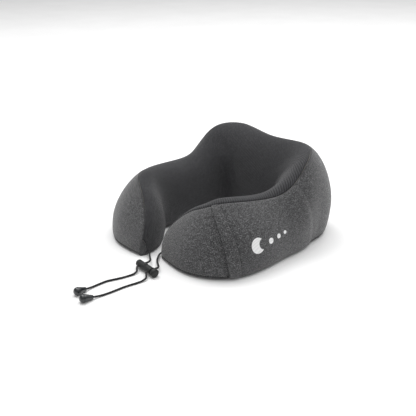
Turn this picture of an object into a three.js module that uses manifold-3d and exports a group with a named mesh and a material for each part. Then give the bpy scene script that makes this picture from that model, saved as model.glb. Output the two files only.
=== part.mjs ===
// U-shaped travel neck pillow: a foam core in a zipped knit cover, with a drawcord, a two-hole cord lock and bell ends.
// Millimetres, +Z up. The pillow lies on Z = 0 with its opening towards -Y.
import * as THREE from 'three';
import { mergeVertices } from 'three/addons/utils/BufferGeometryUtils.js';
import Module from 'manifold-3d';

const wasm = await Module();
wasm.setup();

// ---------------------------------------------------------------- driving dimensions

// The body is a section swept along a U. Each station, from the middle of the back to the end of one arm, gives the
// centreline (x, y), the crest height, the half widths outside and inside the centreline, how far the crest leans
// outwards, and where the seam between the neck panel and the side panel crosses the section (0 bulge, 90 crest).
const STATIONS = [
  { name: 'nape', x: 0, y: 103, crest: 138, outer: 46, inner: 40, lean: -4, seam: 84 },
  { name: 'hump', x: 73, y: 100, crest: 142, outer: 47, inner: 40, lean: 0, seam: 84 },
  { name: 'shoulder', x: 96, y: 66, crest: 133, outer: 36, inner: 40, lean: 10, seam: 78 },
  { name: 'saddle', x: 100, y: 16, crest: 96, outer: 38, inner: 40, lean: 2, seam: 72 },
  { name: 'arm', x: 94, y: -95, crest: 101, outer: 37, inner: 41, lean: -20, seam: 72 },
  { name: 'tip', x: 11, y: -141, crest: 63, outer: 20, inner: 40, lean: -17, seam: 80 },
];
const SECTION = {
  crownPower: 1.65, // 2 would be an ellipse; less is more pointed
  outerBulge: 0.37, // height of the widest point, as a share of the crest
  outerBulgeDrop: 0.06, // the outer bulge sits this much lower at the arm ends
  innerBulge: 0.33,
  outerTuck: 0.84, // width at the base, as a share of the widest
  innerTuck: 0.95,
};
// Each arm tapers to its tip over these lengths; the last section stands this far short of the centreline's end.
const TIP = {
  outerRounding: 60,
  innerRounding: 36,
  heightRounding: 50,
  roundness: 1.7,
  heightPower: 0.5,
  short: 1,
};
// The inner wall turns the corners at the back more gently than the centreline: it is square to a chord that reaches
// this far each way along the centreline.
const INNER_SMOOTHING = 40;
// The soft arms lie a little to one side, and the right one a little further back than the left one.
const LAY = { sway: 2, stagger: 10, startY: 10, length: 130 };

const COVER_THICKNESS = 2;
const GAP = 0.3;
const SEAM_GAP = 0.4;
const SEAM_SHIFT = 0.005; // half the gap between the neck and side panels, as a share of a quarter section
const NECK_PANEL_END = 0.985; // share of the arm's length where the neck panel stops and the side panel wraps the tip
const NECK_PANEL_END_GAP = 0.002;

// The pocket lies on the right arm's side panel; its back edge and its mouth are places along the arm.
const POCKET = { back: 0.35, mouth: 0.75, hem: 13, thickness: 1.4, hemThickness: 1.9, seamMargin: 0.04 };

// The zip closes a slot in the base panel. It is shown closed, with its slider at the +X end.
const ZIP = {
  length: 160,
  y: 106,
  slotClearance: 0.6,
  tapeWidth: 10,
  tapeThickness: 0.6,
  coilWidth: 1.1,
  coilGap: 1.2,
  coilDrop: 0.2,
  stopLength: 3,
  endRoom: 2,
};
const SLIDER = {
  x: 70,
  length: 9,
  width: 6.4,
  plate: 0.7,
  web: 0.6,
  webLength: 6,
  earLength: 1.8,
  earWidth: 0.8,
  pin: 0.3,
  overlap: 0.2, // how far joined features run into each other
};
const PULL = {
  length: 20,
  width: 4.2,
  thickness: 0.8,
  clearance: 0.2,
  eyeRadius: 0.9,
  eyeBore: 0.5,
  gripLength: 11,
  gripWidth: 5.4,
};

const CORD = { radius: 1.4, sides: 8, steps: 44, clearance: 0.4 };
const LOCK = {
  y: -171.5,
  z: 6.4,
  left: 12.5,
  right: 48.2,
  radius: 5.2,
  boreRadius: 3.7,
  boreEnd: 14,
  cordClearance: 0.5,
  lugFrom: 31,
  lugTo: 35.5,
  lugWidth: 5,
  lugHeight: 1.2,
  lugSink: 1.2,
  domeLength: 2.2,
};
const PLUNGER = {
  travel: 1.8,
  rodRadius: 3.4,
  rodEnd: 19,
  cordClearance: 0.4,
  knobRadius: 6.1,
  knobLength: 6.6,
  knobGap: 2.3, // a little more than the travel
  knobEdge: 0.7,
};
const SPRING = { radius: 2.6, wire: 0.35, turns: 3.5, steps: 36 };
const BELL = {
  length: 13.5,
  neckRadius: 3,
  radius: 5.7,
  edge: 0.5,
  flare: [[0.3, 3.5], [0.6, 4.5], [0.86, 5.4]], // share of the length, radius
  cordClearance: 0.35,
  floor: 3.2,
  cavityNeck: 3.4,
  cavityMouth: 4.5,
  lift: 0.2, // clear of the ground
};
const CAP = { plugRadius: 3.9, plugLength: 2, domeLength: 5.2 };
const KNOT = { radius: 2.6, at: 7.2 };
const ANCHOR = { length: 12, width: 8, height: 5, clearance: 0.5 };

// Where each cord runs: chosen points, from the sewn end in the arm tip to the narrow end of its bell. The cord lies
// straight through the lock, level with the lock's axis, and rests on the ground elsewhere.
const CORD_ROUTES = {
  left: [
    [-15, -136, 6.5], [-7, -139.5, 5], [-1, -142.5, 4.2], [6, -146.5, 4.4], [13, -150.5, 5.4], [19.5, -155, 6.2],
    [22, -159, 6.4], [22, -162, 6.4], [22, -171.5, 6.4], [22, -176.6, 6.4], [22.3, -179, 6.2], [25.6, -182, 5],
    [29.3, -185, 3.2], [30.3, -190.5, 1.8], [29.6, -198, 1.4], [28, -208, 1.4], [25, -219, 1.4], [22.3, -229, 1.4],
    [22.3, -240, 1.4], [23.2, -252, 1.6], [24.8, -263, 3.1],
  ],
  right: [
    [19, -116, 6.5], [11, -119.5, 5], [7, -123.5, 4.2], [9, -130.5, 4], [14, -137, 4], [24, -146, 4.4],
    [36, -153, 5.4], [42, -156, 6.2], [44.5, -159.5, 6.4], [44.5, -162, 6.4], [44.5, -171.5, 6.4], [44.5, -176.6, 6.4],
    [44.9, -179, 6.2], [49, -182, 5], [53, -185.5, 3.2], [54, -191.5, 1.8], [53.4, -200, 1.4], [52, -210, 1.4],
    [51, -221, 1.4], [51, -232, 1.4], [50.8, -244, 1.4], [49.8, -255, 1.6], [48.6, -266, 3.1],
  ],
};

// ---------------------------------------------------------------- solids and meshes

function stripped(geometry) {
  const bare = geometry.clone();
  bare.deleteAttribute('normal');
  if (bare.hasAttribute('uv')) bare.deleteAttribute('uv');
  return mergeVertices(bare, 1e-4);
}

function solidOf(geometry) {
  const g = stripped(geometry);
  const mesh = new wasm.Mesh({
    numProp: 3,
    vertProperties: Float32Array.from(g.attributes.position.array),
    triVerts: Uint32Array.from(g.index.array),
  });
  return new wasm.Manifold(mesh);
}

function geometryOf(solid) {
  const mesh = solid.getMesh();
  const g = new THREE.BufferGeometry();
  g.setAttribute('position', new THREE.BufferAttribute(Float32Array.from(mesh.vertProperties), 3));
  g.setIndex(new THREE.BufferAttribute(Uint32Array.from(mesh.triVerts), 1));
  g.computeVertexNormals();
  return g;
}

// A closed solid through rings of points. Each ring has an even number of points, and point i faces point n - 1 - i
// across the ring, so the two ends close with a strip between facing points.
function loft(rings) {
  const n = rings[0].length;
  const positions = rings.flat().flatMap((p) => [p.x, p.y, p.z]);
  const index = [];
  for (let r = 0; r + 1 < rings.length; r += 1) {
    for (let i = 0; i < n; i += 1) {
      const a = r * n + i;
      const b = r * n + ((i + 1) % n);
      index.push(a, a + n, b, b, a + n, b + n);
    }
  }
  const last = (rings.length - 1) * n;
  for (let i = 0; i + 1 < n / 2; i += 1) {
    const [a, b, c, d] = [i, i + 1, n - 2 - i, n - 1 - i];
    index.push(a, b, d, b, c, d);
    index.push(last + a, last + d, last + b, last + b, last + d, last + c);
  }
  const g = new THREE.BufferGeometry();
  g.setAttribute('position', new THREE.Float32BufferAttribute(positions, 3));
  g.setIndex(index);
  g.computeVertexNormals();
  return volumeOf(positions, index) < 0 ? flipped(g) : g;
}

function volumeOf(positions, index) {
  const point = (i) => new THREE.Vector3(positions[3 * i], positions[3 * i + 1], positions[3 * i + 2]);
  let sum = 0;
  for (let t = 0; t < index.length; t += 3) {
    sum += point(index[t]).dot(point(index[t + 1]).cross(point(index[t + 2])));
  }
  return sum;
}

function flipped(geometry) {
  const index = Array.from(geometry.index.array);
  for (let t = 0; t < index.length; t += 3) [index[t + 1], index[t + 2]] = [index[t + 2], index[t + 1]];
  geometry.setIndex(index);
  geometry.computeVertexNormals();
  return geometry;
}

function boxBetween(x0, x1, y0, y1, z0, z1) {
  const g = new THREE.BoxGeometry(x1 - x0, y1 - y0, z1 - z0);
  return g.translate((x0 + x1) / 2, (y0 + y1) / 2, (z0 + z1) / 2);
}

// A cylinder along Y, or along X.
function cylinderAlong(axis, radius, from, to, sides) {
  const g = new THREE.CylinderGeometry(radius, radius, to - from, sides);
  g.translate(0, (from + to) / 2, 0);
  return axis === 'x' ? g.rotateZ(-Math.PI / 2) : g;
}

const turned = (profile, segments) => stripped(
  new THREE.LatheGeometry(profile.map((p) => new THREE.Vector2(...p)), segments),
);

function polygon(radius, sides) {
  const corners = Array.from({ length: sides }, (_, i) => (i * 2 * Math.PI) / sides);
  return new THREE.Shape(corners.map((a) => new THREE.Vector2(radius * Math.cos(a), radius * Math.sin(a))));
}

// A round wire or cord of a few flat sides along a path.
function swept(path, radius, sides, steps) {
  const curve = new THREE.CatmullRomCurve3(path, false, 'centripetal');
  return new THREE.ExtrudeGeometry(polygon(radius, sides), { steps, extrudePath: curve, curveSegments: 1 });
}

const finish = (color, roughness, metalness = 0) => new THREE.MeshStandardMaterial({ color, roughness, metalness });
const MATERIALS = {
  foam: finish(0xe9e2cf, 0.95),
  heather: finish(0x66676a, 0.95),
  ribbed: finish(0x35383a, 0.92),
  base: finish(0x58595c, 0.95),
  tape: finish(0x1d1e20, 0.9),
  coil: finish(0x151617, 0.5),
  metal: finish(0x2a2b2d, 0.35, 0.8),
  steel: finish(0xb9bcc0, 0.3, 1),
  cord: finish(0x0f0f12, 0.85),
  plastic: finish(0x2d3030, 0.55),
  gloss: finish(0x23282a, 0.25),
};

const assembly = new THREE.Group();

function addMesh(name, geometry, material, parent = assembly) {
  const mesh = new THREE.Mesh(geometry, material);
  mesh.name = name;
  parent.add(mesh);
  return mesh;
}

// ---------------------------------------------------------------- the swept body

const alongStations = (x, y, z) => {
  const half = STATIONS.map((s) => new THREE.Vector3(x(s), y(s), z(s)));
  const mirrored = STATIONS.slice(1).reverse().map((s) => new THREE.Vector3(-x(s), y(s), z(s)));
  return new THREE.CatmullRomCurve3([...mirrored, ...half], false, 'catmullrom', 0.5);
};
const planCurve = alongStations((s) => s.x, (s) => s.y, () => 0);
const heightCurve = alongStations(() => 0, (s) => s.crest, (s) => s.seam);
const girthCurve = alongStations(() => 0, (s) => s.outer, (s) => s.inner);
const leanCurve = alongStations(() => 0, (s) => s.lean, () => 0);

// Arc length of one arm against the curves' parameter, which is 0.5 at the middle of the back and 1 at the tip.
const SAMPLES = 600;
const armTable = [{ t: 0.5, length: 0 }];
for (let i = 1; i <= SAMPLES; i += 1) {
  const t = 0.5 + (0.5 * i) / SAMPLES;
  const step = planCurve.getPoint(t).distanceTo(planCurve.getPoint(armTable[i - 1].t));
  armTable.push({ t, length: armTable[i - 1].length + step });
}
const ARM_LENGTH = armTable[SAMPLES].length;

function parameterAt(length) {
  const i = Math.max(1, armTable.findIndex((row) => row.length >= length));
  const [a, b] = [armTable[i - 1], armTable[i]];
  return THREE.MathUtils.mapLinear(length, a.length, b.length, a.t, b.t);
}

// A point of the centreline of the right arm; lengths below zero are on the left arm.
function centreAt(length) {
  const point = planCurve.getPoint(parameterAt(Math.min(Math.abs(length), ARM_LENGTH)));
  return length < 0 ? point.setX(-point.x) : point;
}

const rounding = (distance, reach) => {
  const d = THREE.MathUtils.clamp(1 - distance / reach, 0, 1);
  return (1 - d ** TIP.roundness) ** (1 / TIP.roundness);
};

// Everything about the section at a place along the U: place runs from -1 (left tip) over 0 (nape) to 1 (right tip),
// and depth is measured inwards from the outside of the cover.
function sectionAt(place, depth) {
  const length = Math.abs(place) * (ARM_LENGTH - TIP.short - depth);
  const t = parameterAt(length);
  const share = length / ARM_LENGTH;
  const toTip = ARM_LENGTH - depth - length;
  const centre = planCurve.getPoint(t);
  const tangent = planCurve.getTangent(t);
  const crestShare = rounding(toTip, TIP.heightRounding);
  const chord = centreAt(length + INNER_SMOOTHING).sub(centreAt(length - INNER_SMOOTHING));
  return {
    side: place < 0 ? -1 : 1,
    centre,
    outwards: new THREE.Vector3(-tangent.y, tangent.x, 0).normalize(),
    inwards: new THREE.Vector3(chord.y, -chord.x, 0).normalize(),
    base: depth,
    crest: heightCurve.getPoint(t).y * crestShare ** TIP.heightPower - depth,
    outer: (girthCurve.getPoint(t).y - depth) * rounding(toTip, TIP.outerRounding),
    inner: (girthCurve.getPoint(t).z - depth) * rounding(toTip, TIP.innerRounding),
    lean: leanCurve.getPoint(t).y * crestShare,
    seam: 1 + heightCurve.getPoint(t).z / 90,
    outerBulge: SECTION.outerBulge - SECTION.outerBulgeDrop * share ** 2,
    outerTuck: THREE.MathUtils.lerp(SECTION.outerTuck, 1, share ** 2),
  };
}

// A point of the section: round runs 0 (outer base edge), 1 (outer bulge), 2 (crest), 3 (inner bulge), 4 (inner base edge).
function pointOn(place, round, depth) {
  const s = sectionAt(place, depth);
  const isOuter = round < 2;
  const halfWidth = isOuter ? s.outer : s.inner;
  const tuck = isOuter ? s.outerTuck : SECTION.innerTuck;
  const rise = s.crest - s.base;
  const bulge = rise * (isOuter ? s.outerBulge : SECTION.innerBulge);
  const up = isOuter ? round : 4 - round;
  let across;
  let z;
  if (up < 1) {
    across = halfWidth * (1 - (1 - tuck) * (1 - up) ** 2);
    z = up * bulge;
  } else {
    const angle = ((up - 1) * Math.PI) / 2;
    across = halfWidth * Math.max(0, Math.cos(angle)) ** (2 / SECTION.crownPower);
    z = bulge + (rise - bulge) * Math.sin(angle) ** (2 / SECTION.crownPower);
  }
  const point = s.centre
    .addScaledVector(s.outwards, s.lean * (z / rise) ** 1.5)
    .addScaledVector(isOuter ? s.outwards : s.inwards, across);
  const x = s.side * point.x;
  const { y } = point;
  const lay = THREE.MathUtils.smoothstep(LAY.startY - y, 0, LAY.length);
  return new THREE.Vector3(x + LAY.sway * lay, y + s.side * LAY.stagger * lay, s.base + z);
}

// Places and rounds at which every sheet of the body has its points, so that nested sheets keep an even gap.
const BACK_RINGS = 12;
const TIP_RINGS = 7;
const TIP_SHARE = 0.8;
const halfPlaces = [];
for (let i = 1; i <= BACK_RINGS; i += 1) halfPlaces.push((TIP_SHARE * i) / BACK_RINGS);
for (let i = 1; i <= TIP_RINGS; i += 1) {
  halfPlaces.push(TIP_SHARE + (1 - TIP_SHARE) * Math.sin((i * Math.PI) / 2 / TIP_RINGS));
}
const PLACES = [...halfPlaces.map((p) => -p).reverse(), 0, ...halfPlaces];
const LOWER_OUTER = [0, 0.5, 1];
const UPPER_OUTER = [0.25, 0.5, 0.75]; // shares of the way from the bulge to the seam
const INNER = [2, 2.2, 2.4, 2.6, 2.8, 3, 3.5, 4];
const seamRound = (place) => sectionAt(place, 0).seam;
const upToSeam = (place) => [...LOWER_OUTER, ...UPPER_OUTER.map((share) => 1 + share * (seamRound(place) - 1))];
const wholeRounds = (place) => [...upToSeam(place), seamRound(place), ...INNER];

const between = (list, from, to) => {
  const inside = list.filter((value) => value > from + 1e-3 && value < to - 1e-3);
  return [from, ...inside, to];
};

function bodySolid(depth) {
  return solidOf(loft(PLACES.map((place) => wholeRounds(place).map((round) => pointOn(place, round, depth)))));
}

// A curved sheet between two depths, over part of the length and part of the section.
function sheet(places, roundsAt, outerDepth, innerDepth) {
  return loft(places.map((place) => {
    const rounds = roundsAt(place);
    const front = rounds.map((round) => pointOn(place, round, outerDepth));
    const rear = rounds.map((round) => pointOn(place, round, innerDepth)).reverse();
    return [...front, ...rear];
  }));
}

// ---------------------------------------------------------------- drawcord routes

const vector = (p) => new THREE.Vector3(...p);

// Where a cord enters its bell, and the way it points there. The bell lies on the ground, so it tilts up a little.
function bellStart(side) {
  const [before, last] = CORD_ROUTES[side].slice(-2).map(vector);
  const along = last.clone().sub(before).setZ(0).normalize();
  along.z = (BELL.radius + BELL.lift - last.z) / BELL.length;
  return { origin: last, along: along.normalize() };
}

function cordRoute(side) {
  const { origin, along } = bellStart(side);
  const insideBell = KNOT.at - KNOT.radius - GAP;
  return [...CORD_ROUTES[side].map(vector), origin.clone().addScaledVector(along, insideBell)];
}

const cordGeometry = (side, radius) => swept(cordRoute(side), radius, CORD.sides, CORD.steps);

// ---------------------------------------------------------------- foam core and cover

const outside = bodySolid(0);
const lining = bodySolid(COVER_THICKNESS);
const foamOutline = bodySolid(COVER_THICKNESS + SEAM_GAP);
const FAR = 400;
const slab = (z0, z1) => solidOf(boxBetween(-FAR, FAR, -FAR, FAR, z0, z1));
const aboveBase = slab(COVER_THICKNESS + GAP, FAR);
const wall = outside.subtract(lining).intersect(aboveBase);

// The cutter for the neck panel covers the cover's wall from the seam over the crest and down to the inner base edge.
const CUTTER_REACH = 1.2;
const CUTTER_DROP = 6;
function neckCutter(end, shift) {
  const places = between(PLACES, -end, end);
  const rings = places.map((place) => {
    const rounds = [seamRound(place) + shift, ...INNER];
    const dropped = (depth) => pointOn(place, 4, depth).setZ(-CUTTER_DROP);
    const front = [...rounds.map((round) => pointOn(place, round, -CUTTER_REACH)), dropped(-CUTTER_REACH)];
    const innerDepth = COVER_THICKNESS + CUTTER_REACH;
    const rear = [...rounds.map((round) => pointOn(place, round, innerDepth)), dropped(innerDepth)].reverse();
    return [...front, ...rear];
  });
  return solidOf(loft(rings));
}

const cordHole = (side) => solidOf(cordGeometry(side, CORD.radius + CORD.clearance));
const cordHoles = cordHole('left').add(cordHole('right'));

const neckPanel = wall.intersect(neckCutter(NECK_PANEL_END, SEAM_SHIFT)).subtract(cordHoles);
const sides = wall.subtract(neckCutter(NECK_PANEL_END + NECK_PANEL_END_GAP, -SEAM_SHIFT)).subtract(cordHoles);
const rightHalf = solidOf(boxBetween(SEAM_GAP / 2, FAR, -FAR, FAR, -FAR, FAR));
const leftHalf = solidOf(boxBetween(-FAR, -SEAM_GAP / 2, -FAR, FAR, -FAR, FAR));

// zip: a straight slot through the base panel and a groove in the foam above it
const zipHalf = ZIP.length / 2;
const slotHalf = SLIDER.width / 2 + ZIP.slotClearance;
const zipSpace = (halfWidth, top) => solidOf(boxBetween(
  -zipHalf - ZIP.endRoom, zipHalf + ZIP.endRoom, ZIP.y - halfWidth, ZIP.y + halfWidth, -1, top,
));
const tapeBottom = COVER_THICKNESS + GAP;
const tapeTop = tapeBottom + ZIP.tapeThickness;
const coilBottom = tapeBottom - ZIP.coilDrop;
const pullLevel = coilBottom - PULL.clearance - PULL.eyeRadius;
const tapeInner = ZIP.coilGap / 2 + ZIP.coilWidth + GAP;
const tapeOuter = tapeInner + ZIP.tapeWidth;
const sliderTop = tapeTop + GAP + SLIDER.plate;
// A short woven tab, level with the ground, holds each cord's sewn end inside the arm tip.
function anchorGeometry(side, grow) {
  const [start, next] = CORD_ROUTES[side].map(vector);
  const along = next.sub(start).setZ(0).normalize();
  const centre = start.addScaledVector(along, -ANCHOR.length / 2 - GAP);
  const g = new THREE.BoxGeometry(ANCHOR.length + 2 * grow, ANCHOR.width + 2 * grow, ANCHOR.height + 2 * grow);
  return g.rotateZ(Math.atan2(along.y, along.x)).translate(centre.x, centre.y, centre.z);
}

const foam = foamOutline
  .subtract(zipSpace(tapeOuter + GAP, tapeTop + GAP))
  .subtract(zipSpace(SLIDER.width / 2 + GAP, sliderTop + GAP))
  .subtract(solidOf(anchorGeometry('left', ANCHOR.clearance)))
  .subtract(solidOf(anchorGeometry('right', ANCHOR.clearance)))
  .subtract(cordHoles);

addMesh('foam_core', geometryOf(foam), MATERIALS.foam);
addMesh('neck_panel', geometryOf(neckPanel), MATERIALS.ribbed);
addMesh('side_panel_right', geometryOf(sides.intersect(rightHalf)), MATERIALS.heather);
addMesh('side_panel_left', geometryOf(sides.intersect(leftHalf)), MATERIALS.heather);
const basePanel = outside.intersect(slab(-1, COVER_THICKNESS)).subtract(zipSpace(slotHalf, COVER_THICKNESS + 1));
addMesh('base_panel', geometryOf(basePanel), MATERIALS.base);

// ---------------------------------------------------------------- pocket on the right arm

const hemStart = POCKET.mouth - POCKET.hem / ARM_LENGTH;

function pocketPiece(from, to, thickness) {
  const roundsAt = (place) => [...upToSeam(place), seamRound(place) - POCKET.seamMargin];
  const piece = solidOf(sheet(between(PLACES, from, to), roundsAt, -GAP - thickness, -GAP));
  return geometryOf(piece.subtract(bodySolid(-GAP)).intersect(aboveBase));
}

const pocketEnd = hemStart - SEAM_GAP / ARM_LENGTH;
addMesh('pocket_panel', pocketPiece(POCKET.back, pocketEnd, POCKET.thickness), MATERIALS.heather);
addMesh('pocket_hem', pocketPiece(hemStart, POCKET.mouth, POCKET.hemThickness), MATERIALS.heather);

// ---------------------------------------------------------------- zip

const zip = new THREE.Group();
zip.position.set(0, ZIP.y, 0);
assembly.add(zip);

const coilHalf = zipHalf - ZIP.stopLength - GAP;
for (const [name, sign] of [['front', -1], ['rear', 1]]) {
  const strip = (half, near, far, z0, z1) => {
    const [y0, y1] = [sign * near, sign * far].sort((p, q) => p - q);
    return boxBetween(-half, half, y0, y1, z0, z1);
  };
  addMesh(`zip_tape_${name}`, strip(zipHalf, tapeInner, tapeOuter, tapeBottom, tapeTop), MATERIALS.tape, zip);
  const coilFar = ZIP.coilGap / 2 + ZIP.coilWidth;
  addMesh(`zip_coil_${name}`, strip(coilHalf, ZIP.coilGap / 2, coilFar, coilBottom, tapeTop), MATERIALS.coil, zip);
}
const stopHalf = tapeInner - GAP;
for (const [name, end] of [['open', -zipHalf], ['closed', zipHalf - ZIP.stopLength]]) {
  const g = boxBetween(end, end + ZIP.stopLength, -stopHalf, stopHalf, coilBottom - ZIP.coilDrop, tapeTop);
  addMesh(`zip_stop_${name}`, g, MATERIALS.metal, zip);
}

// The slider clasps the coils between two plates joined by a web; the pull turns on a pin between two ears.
const plateTop = coilBottom - GAP;
const plateBottom = plateTop - SLIDER.plate;
const sliderHalf = SLIDER.length / 2;
const halfWidth = SLIDER.width / 2;
const pinX = -sliderHalf - PULL.eyeRadius - GAP;
const earEnd = pinX - SLIDER.earLength / 2;
const slider = new THREE.Group();
slider.position.x = SLIDER.x;
zip.add(slider);

const earBottom = pullLevel - SLIDER.pin - SLIDER.overlap;
const ear = (sign) => {
  const [y0, y1] = [sign * (halfWidth - SLIDER.earWidth), sign * halfWidth].sort((p, q) => p - q);
  return solidOf(boxBetween(earEnd, -sliderHalf + SLIDER.overlap, y0, y1, earBottom, plateTop));
};
const acrossSlider = (radius, half, sides) => solidOf(
  cylinderAlong('y', radius, -half, half, sides).translate(pinX, 0, pullLevel),
);
const pin = acrossSlider(SLIDER.pin, halfWidth - SLIDER.overlap, 12);
const plate = (bottom, top) => solidOf(boxBetween(-sliderHalf, sliderHalf, -halfWidth, halfWidth, bottom, top));
const lowerPlate = plate(plateBottom, plateTop);
const upperPlate = plate(tapeTop + GAP, sliderTop);
const web = solidOf(boxBetween(
  sliderHalf - SLIDER.webLength, sliderHalf - SLIDER.overlap, -SLIDER.web / 2, SLIDER.web / 2,
  plateBottom + SLIDER.overlap, sliderTop - SLIDER.overlap,
));
const sliderSolid = lowerPlate.add(upperPlate).add(web).add(ear(-1)).add(ear(1)).add(pin);
addMesh('zip_slider', geometryOf(sliderSolid), MATERIALS.metal, slider);

const pullHalf = PULL.width / 2;
const pullEnd = pinX - PULL.length;
const eye = acrossSlider(PULL.eyeRadius, pullHalf, 16);
const eyeBore = acrossSlider(PULL.eyeBore, pullHalf + 1, 12);
const pullZ = [pullLevel - PULL.thickness / 2, pullLevel + PULL.thickness / 2];
const stem = solidOf(boxBetween(pullEnd + 1, pinX, -pullHalf / 2, pullHalf / 2, ...pullZ));
const grip = solidOf(boxBetween(pullEnd, pullEnd + PULL.gripLength, -PULL.gripWidth / 2, PULL.gripWidth / 2, ...pullZ));
addMesh('zip_pull', geometryOf(eye.add(stem).subtract(eyeBore).add(grip)), MATERIALS.metal, slider);

// ---------------------------------------------------------------- cords, knots and bell ends

for (const side of ['left', 'right']) {
  addMesh(`cord_anchor_${side}`, anchorGeometry(side, 0), MATERIALS.tape);
  addMesh(`cord_${side}`, stripped(cordGeometry(side, CORD.radius)), MATERIALS.cord);

  const { origin, along } = bellStart(side);
  const end = new THREE.Group();
  end.position.copy(origin);
  end.quaternion.setFromUnitVectors(new THREE.Vector3(0, 1, 0), along);
  assembly.add(end);

  const knot = stripped(new THREE.SphereGeometry(KNOT.radius, 10, 6)).translate(0, KNOT.at, 0);
  addMesh(`cord_knot_${side}`, knot, MATERIALS.cord, end);

  const cordBore = CORD.radius + BELL.cordClearance;
  addMesh(`cord_end_bell_${side}`, turned([
    [cordBore, 0], [BELL.neckRadius - BELL.edge, 0], [BELL.neckRadius, BELL.edge],
    ...BELL.flare.map(([share, radius]) => [radius, share * BELL.length]),
    [BELL.radius, BELL.length - BELL.edge], [BELL.radius, BELL.length],
    [BELL.cavityMouth, BELL.length], [BELL.cavityNeck, BELL.floor], [cordBore, BELL.floor], [cordBore, 0],
  ], 16), MATERIALS.gloss, end);

  const rim = BELL.length + GAP;
  const domeArc = [0, 0.25, 0.5, 0.75].map((share) => (share * Math.PI) / 2);
  addMesh(`cord_end_cap_${side}`, turned([
    [0, rim - CAP.plugLength], [CAP.plugRadius, rim - CAP.plugLength], [CAP.plugRadius, rim],
    ...domeArc.map((angle) => [BELL.radius * Math.cos(angle), rim + CAP.domeLength * Math.sin(angle)]),
    [0, rim + CAP.domeLength],
  ], 16), MATERIALS.gloss, end);
}

// ---------------------------------------------------------------- cord lock

const cordX = ['left', 'right'].map((side) => CORD_ROUTES[side].find((p) => p[1] === LOCK.y)[0]);
const lock = new THREE.Group();
lock.position.set(0, LOCK.y, LOCK.z);
assembly.add(lock);

const lengthwise = (radius, from, to) => solidOf(cylinderAlong('x', radius, from, to, 20));
const across = (radius, x) => solidOf(cylinderAlong('y', radius, -2 * LOCK.radius, 2 * LOCK.radius, 12).translate(x, 0, 0));
const domeBase = LOCK.left + LOCK.domeLength;
const ball = new THREE.SphereGeometry(LOCK.radius, 20, 8).rotateZ(Math.PI / 2);
const dome = solidOf(ball.scale(LOCK.domeLength / LOCK.radius, 1, 1).translate(domeBase, 0, 0));
const lugHalf = LOCK.lugWidth / 2;
const lug = solidOf(boxBetween(
  LOCK.lugFrom, LOCK.lugTo, -lugHalf, lugHalf, LOCK.radius - LOCK.lugSink, LOCK.radius + LOCK.lugHeight,
));
const barrel = lengthwise(LOCK.radius, domeBase, LOCK.right)
  .add(dome)
  .add(lug)
  .subtract(lengthwise(LOCK.boreRadius, LOCK.boreEnd, LOCK.right + 1))
  .subtract(across(CORD.radius + LOCK.cordClearance, cordX[0]))
  .subtract(across(CORD.radius + LOCK.cordClearance, cordX[1]));
addMesh('lock_barrel', geometryOf(barrel), MATERIALS.plastic, lock);

const knobStart = LOCK.right + PLUNGER.knobGap;
const knobEnd = knobStart + PLUNGER.knobLength;
const slotReach = CORD.radius + PLUNGER.cordClearance;
const crossSlot = (x) => solidOf(boxBetween(
  x - slotReach, x + slotReach + PLUNGER.travel, -PLUNGER.knobRadius, PLUNGER.knobRadius, -slotReach, slotReach,
));
const knobShoulder = PLUNGER.knobLength / 2;
const knobArc = [0, 0.3, 0.6, 0.85].map((share) => (share * Math.PI) / 2);
const knob = solidOf(turned([
  [0, knobStart], [PLUNGER.knobRadius - PLUNGER.knobEdge, knobStart], [PLUNGER.knobRadius, knobStart + PLUNGER.knobEdge],
  ...knobArc.map((angle) => [
    PLUNGER.knobRadius * Math.cos(angle), knobStart + knobShoulder + knobShoulder * Math.sin(angle),
  ]),
  [0, knobEnd],
], 20).rotateZ(-Math.PI / 2));
const plunger = lengthwise(PLUNGER.rodRadius, PLUNGER.rodEnd, knobStart + PLUNGER.knobEdge)
  .subtract(crossSlot(cordX[0]))
  .subtract(crossSlot(cordX[1]))
  .add(knob);
addMesh('lock_plunger', geometryOf(plunger), MATERIALS.plastic, lock);

const springFrom = LOCK.boreEnd + GAP + SPRING.wire;
const springTo = PLUNGER.rodEnd - GAP - SPRING.wire;
const helix = Array.from({ length: SPRING.steps + 1 }, (_, i) => {
  const share = i / SPRING.steps;
  const angle = share * SPRING.turns * 2 * Math.PI;
  const x = THREE.MathUtils.lerp(springFrom, springTo, share);
  return new THREE.Vector3(x, SPRING.radius * Math.cos(angle), SPRING.radius * Math.sin(angle));
});
addMesh('lock_spring', stripped(swept(helix, SPRING.wire, 5, SPRING.steps)), MATERIALS.steel, lock);

// ---------------------------------------------------------------- origin: middle of the pillow, on the ground

const FREE_PIECES = /^(cord_(left|right|knot|end)|lock_)/;
assembly.updateMatrixWorld(true);
const box = new THREE.Box3();
assembly.traverse((object) => {
  if (object.isMesh && !FREE_PIECES.test(object.name)) box.union(new THREE.Box3().setFromObject(object, true));
});
const middle = box.getCenter(new THREE.Vector3());
assembly.position.set(-middle.x, -middle.y, -box.min.z);

export default assembly;
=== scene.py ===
import math

import bpy
import numpy as np
from mathutils import Matrix, Vector


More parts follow.
